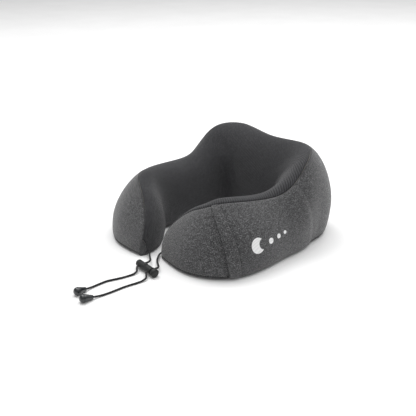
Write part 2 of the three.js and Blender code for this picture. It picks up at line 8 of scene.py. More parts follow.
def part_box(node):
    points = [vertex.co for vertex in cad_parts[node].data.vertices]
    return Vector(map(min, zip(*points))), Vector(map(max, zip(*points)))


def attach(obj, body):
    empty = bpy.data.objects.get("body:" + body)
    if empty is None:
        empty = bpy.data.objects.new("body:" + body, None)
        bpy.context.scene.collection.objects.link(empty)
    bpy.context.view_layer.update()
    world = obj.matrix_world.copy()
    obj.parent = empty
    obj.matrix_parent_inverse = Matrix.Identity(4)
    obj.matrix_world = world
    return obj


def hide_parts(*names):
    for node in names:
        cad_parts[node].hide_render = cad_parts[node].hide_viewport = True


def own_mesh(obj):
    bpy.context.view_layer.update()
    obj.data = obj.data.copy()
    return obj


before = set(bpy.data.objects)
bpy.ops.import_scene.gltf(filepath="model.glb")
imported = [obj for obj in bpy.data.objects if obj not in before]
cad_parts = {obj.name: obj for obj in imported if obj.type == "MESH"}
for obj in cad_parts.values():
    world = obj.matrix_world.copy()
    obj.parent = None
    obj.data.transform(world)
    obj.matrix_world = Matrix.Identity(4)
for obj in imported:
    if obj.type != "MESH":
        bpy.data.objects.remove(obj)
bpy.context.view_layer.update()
MM = 0.001

# The sizes of the pillow are in millimetres from the middle of its base; SHIFT carries them to the common
# frame.
ZIP_Y, ZIP_HALF = 106, 82
LOCK_Y, LOCK_Z = -171.5, 6.4
tape_low, tape_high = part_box("zip_tape_front")
rod_low, rod_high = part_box("lock_plunger")
SHIFT = Vector(((tape_low.x + tape_high.x) / 2, (rod_low.y + rod_high.y) / 2 - LOCK_Y * MM, 0))


def placed(x, y, z):
    return Vector((x, y, z)) * MM + SHIFT


def nothing_selected():
    for thing in bpy.context.selected_objects:
        thing.select_set(False)
    bpy.context.view_layer.objects.active = None


nothing_selected()

# ------------------------------------------------------------------ camera

TURN, RISE = math.radians(49.61), math.radians(23.52)
CAMERA_DISTANCE, AIM_HEIGHT = 1.0306, 50
backwards = Vector((math.sin(TURN) * math.cos(RISE), -math.cos(TURN) * math.cos(RISE), math.sin(RISE)))
camera_data = bpy.data.cameras.new("camera")
camera_data.lens, camera_data.sensor_width = 56.46, 36
camera_data.shift_x, camera_data.shift_y = -0.0365, -0.0175
camera = bpy.data.objects.new("camera", camera_data)
camera.location = placed(0, 0, AIM_HEIGHT) + backwards * CAMERA_DISTANCE
camera.rotation_euler = backwards.to_track_quat("Z", "Y").to_euler()
bpy.context.scene.collection.objects.link(camera)
bpy.context.scene.camera = camera

# ------------------------------------------------------------------ mesh helpers


def mesh_piece(name, points, faces, uv=None):
    """A mesh object from points in metres; uv gives one pair per point."""
    mesh = bpy.data.meshes.new(name)
    mesh.from_pydata([tuple(p) for p in points], [], [tuple(int(i) for i in f) for f in faces])
    if uv is not None:
        layer = mesh.uv_layers.new(name="cloth")
        corners = np.empty(len(mesh.loops), np.int32)
        mesh.loops.foreach_get("vertex_index", corners)
        layer.data.foreach_set("uv", np.asarray(uv, np.float32)[corners].ravel())
    mesh.validate()
    piece = bpy.data.objects.new(name, mesh)
    bpy.context.scene.collection.objects.link(piece)
    return piece


def select_only(piece):
    nothing_selected()
    piece.select_set(True)
    bpy.context.view_layer.objects.active = piece


def smooth(piece, degrees=40):
    select_only(piece)
    bpy.ops.object.shade_smooth_by_angle(angle=math.radians(degrees))
    nothing_selected()


def softened(piece, width, segments=3, angle=35):
    """Rounds the edges that are sharper than angle, for good."""
    select_only(piece)
    edge = piece.modifiers.new("edges", "BEVEL")
    edge.width, edge.segments = width, segments
    edge.limit_method, edge.angle_limit = "ANGLE", math.radians(angle)
    bpy.ops.object.modifier_apply(modifier="edges")
    nothing_selected()


def cut(piece, cutter):
    """Takes the cutter out of the piece and throws the cutter away."""
    select_only(piece)
    hole = piece.modifiers.new("hole", "BOOLEAN")
    hole.object, hole.operation, hole.solver = cutter, "DIFFERENCE", "EXACT"
    bpy.ops.object.modifier_apply(modifier="hole")
    bpy.data.objects.remove(cutter)
    nothing_selected()


def turned(name, profile, sides=40):
    """A turned piece round Z, from a circle at the first (height, radius) in mm, extruded ring by ring.
    The profile runs closed over the axis, so it starts and ends at the piece's two middles."""
    height, radius = profile[0]
    bpy.ops.mesh.primitive_circle_add(vertices=sides, radius=radius * MM, fill_type="NGON",
                                      location=(0, 0, height * MM))
    piece = bpy.context.active_object
    piece.name = piece.data.name = name
    bpy.ops.object.mode_set(mode="EDIT")
    for next_height, next_radius in profile[1:]:
        rise = (next_height - height) * MM
        bpy.ops.mesh.extrude_region_move(TRANSFORM_OT_translate={"value": (0, 0, rise)})
        share = next_radius / radius
        bpy.ops.transform.resize(value=(share, share, 1), center_override=(0, 0, next_height * MM))
        height, radius = next_height, next_radius
    bpy.ops.mesh.select_all(action="SELECT")
    bpy.ops.mesh.remove_doubles(threshold=1e-6)
    bpy.ops.mesh.normals_make_consistent(inside=False)
    bpy.ops.object.mode_set(mode="OBJECT")
    piece.data.transform(piece.matrix_world)
    piece.matrix_world = Matrix.Identity(4)
    nothing_selected()
    return piece


def pointed(piece, origin, axis):
    """Moves a piece made round Z so that it starts at origin and runs along axis."""
    turn = Vector(axis).to_track_quat("Z", "Y").to_matrix().to_4x4()
    piece.data.transform(Matrix.Translation(origin) @ turn)
    return piece


def block(name, low, high):
    """A box between two corners given in mm, as a start for shaping."""
    low, high = placed(*low), placed(*high)
    bpy.ops.mesh.primitive_cube_add(size=1, location=(low + high) / 2, scale=high - low)
    piece = bpy.context.active_object
    piece.name = piece.data.name = name
    bpy.ops.object.transform_apply(location=True, rotation=True, scale=True)
    nothing_selected()
    return piece


# ------------------------------------------------------------------ smooth lines


def through(points, step=0.8):
    """A smooth line through points, as points a step apart (mm)."""
    points = np.asarray(points, float)
    ends = np.vstack([2 * points[0] - points[1], points, 2 * points[-1] - points[-2]])
    line = []
    for a, b, c, d in zip(ends, ends[1:], ends[2:], ends[3:]):
        knots = np.cumsum([0] + [math.sqrt(np.linalg.norm(q - p)) for p, q in ((a, b), (b, c), (c, d))])
        for t in np.linspace(knots[1], knots[2], 24, endpoint=False):
            def mix(p, q, i, j):
                return p * (knots[j] - t) / (knots[j] - knots[i]) + q * (t - knots[i]) / (knots[j] - knots[i])
            ab, bc, cd = mix(a, b, 0, 1), mix(b, c, 1, 2), mix(c, d, 2, 3)
            line.append(mix(mix(ab, bc, 0, 2), mix(bc, cd, 1, 3), 1, 2))
    line.append(points[-1])
    return evenly(np.array(line), step)


def evenly(line, step):
    """The same line with its points evenly spaced, about a step apart."""
    run = np.concatenate([[0], np.cumsum(np.linalg.norm(np.diff(line, axis=0), axis=1))])
    stops = np.linspace(0, run[-1], max(2, round(run[-1] / step)) + 1)
    return np.column_stack([np.interp(stops, run, line[:, k]) for k in range(3)])


GIRTH = 0.008  # the girth that a tube has in its map, in metres


def tube(name, line, radius, sides=14):
    """A closed round tube along a line of points in mm, with its length and GIRTH in metres as its map."""
    line = np.asarray(line, float)
    heading = np.gradient(line, axis=0)
    heading /= np.linalg.norm(heading, axis=1)[:, None]
    side = np.cross(heading[0], (0, 0, 1.0))
    rings, uv, run = [], [], 0
    angles = np.linspace(0, 2 * math.pi, sides, endpoint=False)
    for i, (point, ahead) in enumerate(zip(line, heading)):
        side = side - ahead * np.dot(side, ahead)
        side /= np.linalg.norm(side)
        up = np.cross(ahead, side)
        run += np.linalg.norm(line[i] - line[i - 1]) if i else 0
        for angle in angles:
            rings.append(placed(*(point + radius * (math.cos(angle) * side + math.sin(angle) * up))))
            uv.append((run * MM, angle / (2 * math.pi) * GIRTH))
    n, m = len(line), sides
    faces = [(i * m + j, i * m + (j + 1) % m, (i + 1) * m + (j + 1) % m, (i + 1) * m + j)
             for i in range(n - 1) for j in range(m)]
    faces += [tuple(range(m))[::-1], tuple((n - 1) * m + j for j in range(m))]
    piece = mesh_piece(name, rings, faces, uv)
    smooth(piece, 60)
    return piece


# ------------------------------------------------------------------ cords, with their ends

CORD_RADIUS = 1.4
CORD_ROUTES = {
    "left": [(-15, -136, 6.5), (-7, -139.5, 5), (-1, -142.5, 4.2), (6, -146.5, 4.4), (13, -150.5, 5.4),
             (19.5, -155, 6.2), (22, -159, 6.4), (22, -162, 6.4), (22, -171.5, 6.4), (22, -176.6, 6.4),
             (22.3, -179, 6.2), (25.6, -182, 5), (29.3, -185, 3.2), (30.3, -190.5, 1.8), (29.6, -198, 1.4),
             (28, -208, 1.4), (25, -219, 1.4), (22.3, -229, 1.4), (22.3, -240, 1.4), (23.2, -252, 1.6),
             (24.8, -263, 3.1)],
    "right": [(19, -116, 6.5), (11, -119.5, 5), (7, -123.5, 4.2), (9, -130.5, 4), (14, -137, 4),
              (24, -146, 4.4),
              (36, -153, 5.4), (42, -156, 6.2), (44.5, -159.5, 6.4), (44.5, -162, 6.4), (44.5, -171.5, 6.4),
              (44.5, -176.6, 6.4), (44.9, -179, 6.2), (49, -182, 5), (53, -185.5, 3.2), (54, -191.5, 1.8),
              (53.4, -200, 1.4), (52, -210, 1.4), (51, -221, 1.4), (51, -232, 1.4), (50.8, -244, 1.4),
              (49.8, -255, 1.6), (48.6, -266, 3.1)],
}
BELL_LENGTH, BELL_RADIUS, BELL_LIFT = 13.5, 5.7, 0.2
CORD_IN_BELL, KNOT_AT, KNOT_RADIUS = 4.3, 7.2, 1.45

cord_pieces = {}
for hand, route in CORD_ROUTES.items():
    last, before = Vector(route[-1]), Vector(route[-2])
    axis = Vector((last.x - before.x, last.y - before.y, 0)).normalized()
    axis.z = (BELL_RADIUS + BELL_LIFT - last.z) / BELL_LENGTH
    axis.normalize()
    line = through([*route, tuple(last + axis * CORD_IN_BELL)])
    cord = tube(f"braided_cord_{hand}", line, CORD_RADIUS)
    start = placed(*last)

    bell = turned(f"cord_bell_{hand}", [
        (0, 1.7), (0, 2.3), (0.15, 2.7), (0.5, 3), (2.2, 3.3), (4.5, 3.75), (6.8, 4.3), (9, 4.85),
        (11.2, 5.35),
        (12.8, 5.62), (13.3, 5.6), (13.5, 5.45), (13.5, 4.5), (8, 3.9), (3.2, 3.4), (3.2, 1.7),
    ])
    cap = turned(f"cord_cap_{hand}", [
        (9.6, 3.6), (9.8, 3.85), (13.8, 3.9), (13.8, 5.35), (13.95, 5.6), (14.5, 5.62), (15.4, 5.45),
        (16.6, 5),
        (17.6, 4.3), (18.4, 3.3), (18.85, 2.1), (19, 0.8),
    ])
    for part in (bell, cap):
        pointed(part, start, axis)
        smooth(part, 50)

    # The knot is one turn of the cord round itself, drawn tight in the bell.
    tilt = axis.to_track_quat("Z", "Y")
    middle = last + axis * KNOT_AT
    loop = [middle + tilt @ Vector((KNOT_RADIUS * math.cos(a), KNOT_RADIUS * math.sin(a),
                                    0.5 * math.sin(2 * a) - 0.7 + a * 0.22))
            for a in np.linspace(0, 2 * math.pi, 13)]
    knot = tube(f"cord_knot_turn_{hand}", through(loop, 0.6), 1.15, 10)

    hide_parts(f"cord_{hand}")
    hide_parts(f"cord_end_bell_{hand}")
    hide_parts(f"cord_end_cap_{hand}")
    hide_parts(f"cord_knot_{hand}")
    for part, slot in ((cord, "cord"), (knot, "cord"), (bell, "gloss_plastic"), (cap, "gloss_plastic")):
        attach(part, "pillow")
    cord_pieces[hand] = (cord, bell, cap, knot)

# ------------------------------------------------------------------ the shape of the pillow

# Along the right half from the nape to the tip: place in plan, crest height, outer and inner half width,
# lean, and the angle up the outer side where the neck panel's seam runs.
STATIONS = np.array([
    (0, 103, 138, 46, 40, -4, 84),
    (73, 100, 142, 47, 40, 0, 84),
    (96, 66, 133, 36, 40, 10, 78),
    (100, 16, 96, 38, 40, 2, 72),
    (94, -95, 101, 37, 41, -20, 72),
    (11, -141, 63, 20, 40, -17, 80),
], float)
ALL_ROUND = np.vstack([STATIONS[:0:-1] * (-1, 1, 1, 1, 1, 1, 1), STATIONS])
PADDED = np.vstack([2 * ALL_ROUND[0] - ALL_ROUND[1], ALL_ROUND, 2 * ALL_ROUND[-1] - ALL_ROUND[-2]])


def spline(t):
    """All seven station values at t, which runs from 0 at the left tip to 1 at the right one."""
    t = np.atleast_1d(np.asarray(t, float)) * (len(ALL_ROUND) - 1)
    i = np.clip(np.floor(t).astype(int), 0, len(ALL_ROUND) - 2)
    w = (t - i)[:, None]
    p0, p1, p2, p3 = (PADDED[i + k] for k in range(4))
    s1, s2 = (p2 - p0) / 2, (p3 - p1) / 2
    return p1 + s1 * w + (3 * (p2 - p1) - 2 * s1 - s2) * w ** 2 + (2 * (p1 - p2) + s1 + s2) * w ** 3


TABLE_T = np.linspace(0.5, 1, 601)
table_steps = np.linalg.norm(np.diff(spline(TABLE_T)[:, :2], axis=0), axis=1)
TABLE_LENGTH = np.concatenate([[0], np.cumsum(table_steps)])
ARM = TABLE_LENGTH[-1]


def centre(length):
    """Points of the centreline; a length below zero is on the left arm."""
    length = np.asarray(length, float)
    points = spline(np.interp(np.minimum(abs(length), ARM), TABLE_LENGTH, TABLE_T))[:, :2]
    points[:, 0] *= np.where(length < 0, -1, 1)
    return points


def rounding(distance, reach):
    return (1 - np.clip(1 - distance / reach, 0, 1) ** TIP_POWER) ** (1 / TIP_POWER)


def eased(x):
    x = np.clip(x, 0, 1)
    return x * x * (3 - 2 * x)


def unit(v):
    return v / np.linalg.norm(v, axis=-1, keepdims=True)


BASE_ROLL = 5.5  # radius of the turn from the walls into the base
INNER_SMOOTHING = 40  # the inner wall is square to a chord that reaches this far each way
CREST_ROUND, OUTER_ROUND, INNER_ROUND = 50, 60, 36  # lengths over which the tips round off
TIP_POWER, SECTION_POWER = 1.7, 1.65  # how full the curves are; 2 is an ellipse
INNER_BULGE, INNER_TUCK = 0.33, 0.95  # height of the widest place and width at the base, as shares
SWAY, STAGGER, LAY_FROM, LAY_LENGTH = 2, 10, 10, 130  # how the soft arms lie to one side


def section(place, depth=0.0):
    """What the cross-section is made of at each place, from -1 at the left tip to 1 at the right one."""
    place = np.atleast_1d(np.asarray(place, float))
    length = abs(place) * (ARM - 1 - depth)
    t = np.interp(length, TABLE_LENGTH, TABLE_T)
    x, y, crest, outer, inner, lean, seam = spline(t).T
    tangent = unit(spline(np.minimum(t + 1e-4, 1))[:, :2] - spline(t - 1e-4)[:, :2])
    to_tip, share = ARM - depth - length, length / ARM
    chord = centre(np.minimum(length + INNER_SMOOTHING, ARM)) - centre(length - INNER_SMOOTHING)
    tall = rounding(to_tip, CREST_ROUND)
    return {
        "side": np.where(place < 0, -1, 1), "x": x, "y": y,
        "outwards": np.column_stack([-tangent[:, 1], tangent[:, 0]]),
        "inwards": unit(np.column_stack([chord[:, 1], -chord[:, 0]])),
        "crest": crest * tall ** 0.5 - depth, "lean": lean * tall, "seam": 1 + seam / 90,
        "outer": (outer - depth) * rounding(to_tip, OUTER_ROUND),
        "inner": (inner - depth) * rounding(to_tip, INNER_ROUND),
        "outer_bulge": 0.37 - 0.06 * share ** 2, "outer_tuck": 0.84 + 0.16 * share ** 2,
    }


def surface(place, turn, depth=0.0):
    """Points of the cover in mm. turn runs 0 outer base, 1 outer bulge, 2 crest, 3 inner bulge, 4 inner base."""
    s = section(place, depth)
    col = {k: v[:, None] for k, v in s.items() if isinstance(v, np.ndarray) and v.ndim == 1}
    turn = np.broadcast_to(turn, (len(s["x"]), np.shape(turn)[-1]))
    outer = turn < 2
    half = np.where(outer, col["outer"], col["inner"])
    tuck = np.where(outer, col["outer_tuck"], INNER_TUCK)
    rise = col["crest"] - depth
    bulge = rise * np.where(outer, col["outer_bulge"], INNER_BULGE)
    up = np.where(outer, turn, 4 - turn)
    angle = np.clip(up - 1, 0, 1) * math.pi / 2
    low = up < 1
    across = half * np.where(low, 1 - (1 - tuck) * (1 - np.minimum(up, 1)) ** 2,
                             np.maximum(np.cos(angle), 0) ** (2 / SECTION_POWER))
    z = np.where(low, up * bulge, bulge + (rise - bulge) * np.sin(angle) ** (2 / SECTION_POWER))
    roll = BASE_ROLL - np.sqrt(BASE_ROLL ** 2 - np.clip(BASE_ROLL - z, 0, BASE_ROLL) ** 2)
    across = across - np.minimum(roll, half * 0.45)
    way = np.where(outer[..., None], s["outwards"][:, None], s["inwards"][:, None])
    plan = np.column_stack([s["x"], s["y"]])[:, None]
    lean = col["lean"] * (z / rise) ** 1.5
    plan = plan + s["outwards"][:, None] * lean[..., None] + way * across[..., None]
    x, y = plan[..., 0] * col["side"], plan[..., 1]
    lay = eased((LAY_FROM - y) / LAY_LENGTH)
    return np.stack([x + SWAY * lay, y + col["side"] * STAGGER * lay, depth + z], axis=-1)


# Rings along the U, closer together round the tips, and columns round the section, closer together at the
# seams.
HALF = np.concatenate([0.86 * np.arange(1, 65) / 64, 0.86 + 0.14 * np.sin(np.arange(1, 19) * math.pi / 36)])
PLACES = np.concatenate([-HALF[::-1], [0], HALF])
MIDDLE = len(HALF)
NEAR_SEAM = (0.14, 0.36, 0.66)
UP_OUTER, DOWN_INNER, ROLL, UNDER = 22, 27, 3, 12
BASE_SEAM_HEIGHT = 5.0


def close_at_ends(steps):
    shares = [0, *NEAR_SEAM, *range(1, steps), *(steps - k for k in NEAR_SEAM[::-1]), steps]
    return np.array(shares) / steps


def stretch_of(place, start, end, shares):
    """Turns from start to end on each ring, spaced by the length of cloth between them."""
    found = []
    for p, a, b in zip(place, start, end):
        fine = np.linspace(a, b, 90)
        run = np.linalg.norm(np.diff(surface([p], fine[None])[0], axis=0), axis=1)
        run = np.concatenate([[0], np.cumsum(run)])
        found.append(np.interp(shares * run[-1], run, fine))
    return np.array(found)


def cover_grid(places):
    """The closed cover as rings of points in mm, and the columns where its seams run."""
    s = section(places)
    outer_low = np.minimum(BASE_SEAM_HEIGHT / (s["crest"] * s["outer_bulge"]), 0.7)
    inner_low = np.minimum(BASE_SEAM_HEIGHT / (s["crest"] * INNER_BULGE), 0.7)
    roll = np.arange(ROLL) / ROLL
    turns = np.hstack([
        outer_low[:, None] * roll,
        stretch_of(places, outer_low, s["seam"], close_at_ends(UP_OUTER))[:, :-1],
        stretch_of(places, s["seam"], 4 - inner_low, close_at_ends(DOWN_INNER))[:, :-1],
        (4 - inner_low)[:, None] + inner_low[:, None] * np.arange(ROLL + 1) / ROLL,
    ])
    shell = np.stack([surface([p], t[None])[0] for p, t in zip(places, turns)])
    under = np.linspace(0, 1, UNDER + 1)[1:-1][None, :, None]
    under = shell[:, -1:] * (1 - under) + shell[:, :1] * under
    extra = 2 * len(NEAR_SEAM)
    seams = {"outer_base": ROLL, "neck": ROLL + UP_OUTER + extra,
             "inner_base": ROLL + UP_OUTER + DOWN_INNER + 2 * extra}
    return np.concatenate([shell, under], axis=1), seams, shell.shape[1]


def ring_faces(rings, columns, crown):
    """Quads of the closed skin, with the two ends closed by strips that pair the outer and inner columns."""
    faces, cells = [], []
    for i in range(rings - 1):
        for j in range(columns):
            k = (j + 1) % columns
            faces.append((i * columns + j, i * columns + k, (i + 1) * columns + k, (i + 1) * columns + j))
            cells.append((i, j))
    for ring, flip in ((0, False), (rings - 1, True)):
        at = ring * columns
        a, b = crown, crown
        while (a - b) + 3 <= columns:
            quad = [at + a % columns, at + (a + 1) % columns, at + (b - 1) % columns, at + b % columns]
            quad = list(dict.fromkeys(quad))
            faces.append(tuple(quad if flip else quad[::-1]))
            cells.append((ring, -1))
            a, b = a + 1, b - 1
        if (a - b) + 2 == columns:
            tri = (at + a % columns, at + (a + 1) % columns, at + b % columns)
            faces.append(tri if flip else tri[::-1])
            cells.append((ring, -1))
    return faces, cells


cover, SEAMS, SHELL = cover_grid(PLACES)
RINGS, COLUMNS = cover.shape[:2]

# The foam's inner wall turns the back corners in one soft sweep, so that wall is eased along the U, more
# so lower down.
EASING_PASSES = 90
free = np.clip((np.arange(COLUMNS) - SEAMS["neck"] - 3) / 10, 0, 1) * (np.arange(COLUMNS) < SHELL)
ease = free[None, :, None] * np.clip((0.8 - np.abs(PLACES)) / 0.12, 0, 1)[:, None, None]
for _ in range(EASING_PASSES):
    level = (cover[:-2] + cover[2:]) / 2 - cover[1:-1]
    cover[1:-1] += 0.5 * ease[1:-1] * level
for k in range(SHELL, COLUMNS):
    share = (k - SHELL + 1) / (COLUMNS - SHELL + 1)
    cover[:, k] = cover[:, SHELL - 1] * (1 - share) + cover[:, 0] * share
faces, cells = ring_faces(RINGS, COLUMNS, SEAMS["neck"])


def outward_faces(points, faces):
    flat = points.reshape(-1, 3)
    total = sum(np.dot(flat[f[0]], np.cross(flat[f[i]], flat[f[i + 1]]))
                for f in faces for i in range(1, len(f) - 1))
    return [f[::-1] for f in faces] if total < 0 else faces


faces = outward_faces(cover, faces)

# The knit is drawn tight at its seams and swells a little between them, so the skin is blown up with the
# seams held.
SWELL, CLOTH_FRAMES = 2.6, 20


def swollen(points):
    skin = mesh_piece("skin", points.reshape(-1, 3) * MM, faces)
    held = skin.vertex_groups.new(name="held")
    columns = np.arange(COLUMNS)
    fixed = np.isin(columns, list(SEAMS.values()))
    fixed |= (columns <= SEAMS["outer_base"]) | (columns >= SEAMS["inner_base"])
    index = np.arange(RINGS * COLUMNS).reshape(RINGS, COLUMNS)
    held.add([int(v) for v in index[:, fixed].ravel()], 1.0, "REPLACE")
    select_only(skin)
    cloth = skin.modifiers.new("cloth", "CLOTH")
    settings = cloth.settings
    settings.quality, settings.mass = 6, 0.2
    settings.tension_stiffness = settings.compression_stiffness = 12
    settings.bending_stiffness = 2
    settings.use_pressure, settings.uniform_pressure_force = True, 4
    settings.vertex_group_mass = "held"
    settings.effector_weights.gravity = 0
    for step in range(1, CLOTH_FRAMES + 1):
        bpy.context.scene.frame_set(step)
    bpy.ops.object.modifier_apply(modifier="cloth")
    bpy.context.scene.frame_set(1)
    moved = np.array([v.co for v in skin.data.vertices]).reshape(points.shape) / MM - points
    bpy.data.objects.remove(skin)
    far = np.linalg.norm(moved, axis=-1, keepdims=True)
    return points + moved * SWELL * np.tanh(far / SWELL) / np.maximum(far, 1e-9)


cover = swollen(cover)


def normals_of(grid):
    """Outward directions at the points of a closed grid."""
    along = np.gradient(grid, axis=0)
    around = np.roll(grid, -1, axis=1) - np.roll(grid, 1, axis=1)
    n = np.cross(around, along)
    n = n / np.maximum(np.linalg.norm(n, axis=-1, keepdims=True), 1e-9)
    sign = np.sign(n[MIDDLE, SEAMS["neck"], 2])
    return n * sign


cover_normals = normals_of(cover)

# How far each point is from the column of each seam, along the ring, and how far along its column, both
# in mm.
gaps = np.linalg.norm(np.diff(cover, axis=1, append=cover[:, :1]), axis=-1)
around = np.concatenate([np.zeros((RINGS, 1)), np.cumsum(gaps, axis=1)[:, :-1]], axis=1)
seam_distance = np.min([abs(around - around[:, [c]]) for c in SEAMS.values()], axis=0)
steps = np.linalg.norm(np.diff(cover, axis=0), axis=-1)
along = np.concatenate([np.zeros((1, COLUMNS)), np.cumsum(steps, axis=0)])
along = along - along[MIDDLE]
# How much of a column's own length its map keeps; how short the inside runs.
OWN_LENGTH, INNER_SHARE = 0.35, 0.8
ring_length = (PLACES * ARM * INNER_SHARE)[:, None] + 0 * along
along = OWN_LENGTH * along + (1 - OWN_LENGTH) * ring_length
cloth_map = np.stack([along, around - around[:, [SEAMS["neck"]]]], axis=-1) * MM

# Seams pull the cloth in; where the inner wall turns the back corners the slack cloth lies in a few soft
# creases. Each has its side of the U, its place along it, how far below the neck seam it lies and its
# half length in mm, its slope, its half width along the U, and its depth in mm.
CREASES = (
    (1, 0.268, 96, 26, 0.020, 0.0070, 1.5),
    (1, 0.305, 112, 22, -0.030, 0.0075, 1.2),
    (1, 0.345, 108, 20, 0.026, 0.007, 0.9),
    (-1, 0.272, 100, 26, -0.022, 0.0072, 1.4),
    (-1, 0.315, 110, 22, 0.028, 0.0075, 1.1),
    (1, 0.385, 104, 16, -0.02, 0.006, 0.5),
)
narrow = np.clip((1 - np.abs(PLACES)) / 0.06, 0.25, 1)[:, None]
sunk = narrow * (1.0 * np.exp(-(seam_distance / 1.4) ** 2) + 0.45 * np.exp(-(seam_distance / 4) ** 2))
from_middle = np.abs(PLACES)[:, None] * np.ones(COLUMNS)
down = around - around[:, [SEAMS["neck"]]]
for side, where, below, half_length, slope, width, deep in CREASES:
    reach = (down - below) / half_length
    off = from_middle - (where + slope * reach)
    on_side = np.sign(PLACES)[:, None] == side
    valley = np.exp(-(off / width) ** 2 - reach ** 2) * on_side
    ridge = np.exp(-((off - 1.5 * width) / width) ** 2 - reach ** 2) * on_side
    sunk = sunk + deep * (valley - 0.7 * ridge)
cover = cover - cover_normals * sunk[..., None]
cover[..., 2] = np.maximum(cover[..., 2], 0)
cover_normals = normals_of(cover)

# ------------------------------------------------------------------ cover panels

NECK_END = 0.999
UNDERSIDE = (SEAMS["outer_base"], SEAMS["inner_base"])


def panel_of(cell):
    ring, column = cell
    if column >= 0 and (column < UNDERSIDE[0] or column >= UNDERSIDE[1]):
        return "base"
    middle = (PLACES[ring] + PLACES[min(ring + 1, RINGS - 1)]) / 2
    if column >= SEAMS["neck"] and abs(middle) < NECK_END:
        return "neck"
    return "side_left" if middle < 0 else "side_right"


def cover_panel(name, which, thickness):
    mine = [f for f, c in zip(faces, cells) if panel_of(c) == which]
    used = sorted({i for f in mine for i in f})
    number = {old: new for new, old in enumerate(used)}
    flat = cover.reshape(-1, 3)[used] * MM + np.array(SHIFT)
    piece = mesh_piece(name, flat, [tuple(number[i] for i in f) for f in mine],
                       cloth_map.reshape(-1, 2)[used])
    thick = piece.modifiers.new("cloth_thickness", "SOLIDIFY")
    thick.thickness, thick.offset = thickness * MM, -1
    select_only(piece)
    bpy.ops.object.modifier_apply(modifier="cloth_thickness")
    nothing_selected()
    for vertex in piece.data.vertices:
        vertex.co.z = max(vertex.co.z, 0)
    return piece


def finer(piece, levels=1):
    fine = piece.modifiers.new("smooth_cloth", "SUBSURF")
    fine.levels = fine.render_levels = levels
    piece.data.polygons.foreach_set("use_smooth", [True] * len(piece.data.polygons))


COVER, BASE_COVER, ZIP_SLOT_HALF = 1.7, 1.9, 3.8
panels = {
    "neck": cover_panel("neck_cover", "neck", COVER),
    "side_left": cover_panel("side_cover_left", "side_left", COVER),
    "side_right": cover_panel("side_cover_right", "side_right", COVER),
    "base": cover_panel("base_cover", "base", BASE_COVER),
}
for which, node, slot in (
    ("neck", "neck_panel", "ribbed_knit"), ("side_left", "side_panel_left", "heather_knit"),
    ("side_right", "side_panel_right", "heather_knit"), ("base", "base_panel", "base_knit"),
):
    finer(panels[which])
    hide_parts(node)
    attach(panels[which], "pillow")

select_only(panels["base"])
bpy.ops.object.modifier_apply(modifier="smooth_cloth")
cut(panels["base"], block("zip_opening", (-ZIP_HALF, ZIP_Y - ZIP_SLOT_HALF, -4),
                          (ZIP_HALF, ZIP_Y + ZIP_SLOT_HALF, 3.4)))
smooth(panels["base"], 50)

# ------------------------------------------------------------------ points on the cover


def on_cover(place, column, lift=0.0):
    """Points on the cover at places and columns that need not be whole, raised by lift mm."""
    ring = np.interp(place, PLACES, np.arange(RINGS))
    i, j = np.floor(ring).astype(int).clip(0, RINGS - 2), np.floor(column).astype(int).clip(0, COLUMNS - 2)
    a, b = (ring - i)[..., None], (np.asarray(column) - j)[..., None]

    def blend_of(grid):
        return ((grid[i, j] * (1 - a) + grid[i + 1, j] * a) * (1 - b)
                + (grid[i, j + 1] * (1 - a) + grid[i + 1, j + 1] * a) * b)
    n = unit(blend_of(cover_normals))
    return blend_of(cover) + n * np.asarray(lift)[..., None], n, blend_of(cloth_map)


def cloth_patch(name, place, column, lift, thickness):
    """A patch of cloth lying on the cover, from grids of places, columns and lifts."""
    points, _, uv = on_cover(place, column, lift)
    rows, cols = place.shape
    index = np.arange(rows * cols).reshape(rows, cols)
    quads = [(index[i, j], index[i, j + 1], index[i + 1, j + 1], index[i + 1, j])
             for i in range(rows - 1) for j in range(cols - 1)]
    flat = points.reshape(-1, 3)
    mid = quads[len(quads) // 2]
    n = np.cross(flat[mid[1]] - flat[mid[0]], flat[mid[3]] - flat[mid[0]])
    row, col = slice(rows // 2, rows // 2 + 1), slice(cols // 2, cols // 2 + 1)
    _, towards, _ = on_cover(place[row, :1], column[row, col])
    if np.dot(n, towards.ravel()) < 0:
        quads = [q[::-1] for q in quads]
    piece = mesh_piece(name, flat * MM + np.array(SHIFT), quads, uv.reshape(-1, 2))
    select_only(piece)
    thick = piece.modifiers.new("cloth_thickness", "SOLIDIFY")
    thick.thickness, thick.offset = thickness * MM, -1
    bpy.ops.object.modifier_apply(modifier="cloth_thickness")
    nothing_selected()
    finer(piece)
    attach(piece, "pillow")
    return piece


# ------------------------------------------------------------------ pocket on the right arm

POCKET_LOW, POCKET_HIGH = UNDERSIDE[0] + 0.4, SEAMS["neck"] - 2.2


def pocket_edge(share, base, neck, bow):
    """A pocket edge's places across the arm, from its base end to its neck end; bow bends it in between."""
    return base + (neck - base) * share ** 2 + bow * share * (1 - share)


MOUTH, BACK = (0.738, 0.781, 0.004), (0.334, 0.386, 0.02)
HEM_WIDTH = 0.03


up_share = np.concatenate([[0, 0.012, 0.03], np.linspace(0.06, 0.94, 24), [0.97, 0.988, 1]])
columns_up = POCKET_LOW + (POCKET_HIGH - POCKET_LOW) * up_share
mouth_at = pocket_edge(up_share, *MOUTH)
hem_at = mouth_at - HEM_WIDTH
back_at = pocket_edge(up_share, *BACK)


def rolled_edges(height):
    """The lift of pocket cloth, which dips to the cover along its base and neck edges."""
    return height * eased(up_share / 0.03) * eased((1 - up_share) / 0.03) + 0.15


back_share = np.concatenate([[0, 0.008, 0.02, 0.04], np.linspace(0.07, 0.95, 30), [0.975, 0.99, 1]])[:, None]
place = back_at + (hem_at - 0.0012 - back_at) * back_share
lift = rolled_edges(1.45) * (0.05 + 0.95 * eased(back_share / 0.04)) - 1.0 * (1 - eased((1 - back_share) / 0.025))
pocket = cloth_patch("pocket_cloth", place, columns_up + 0 * place, lift + 0.15, 1.0)

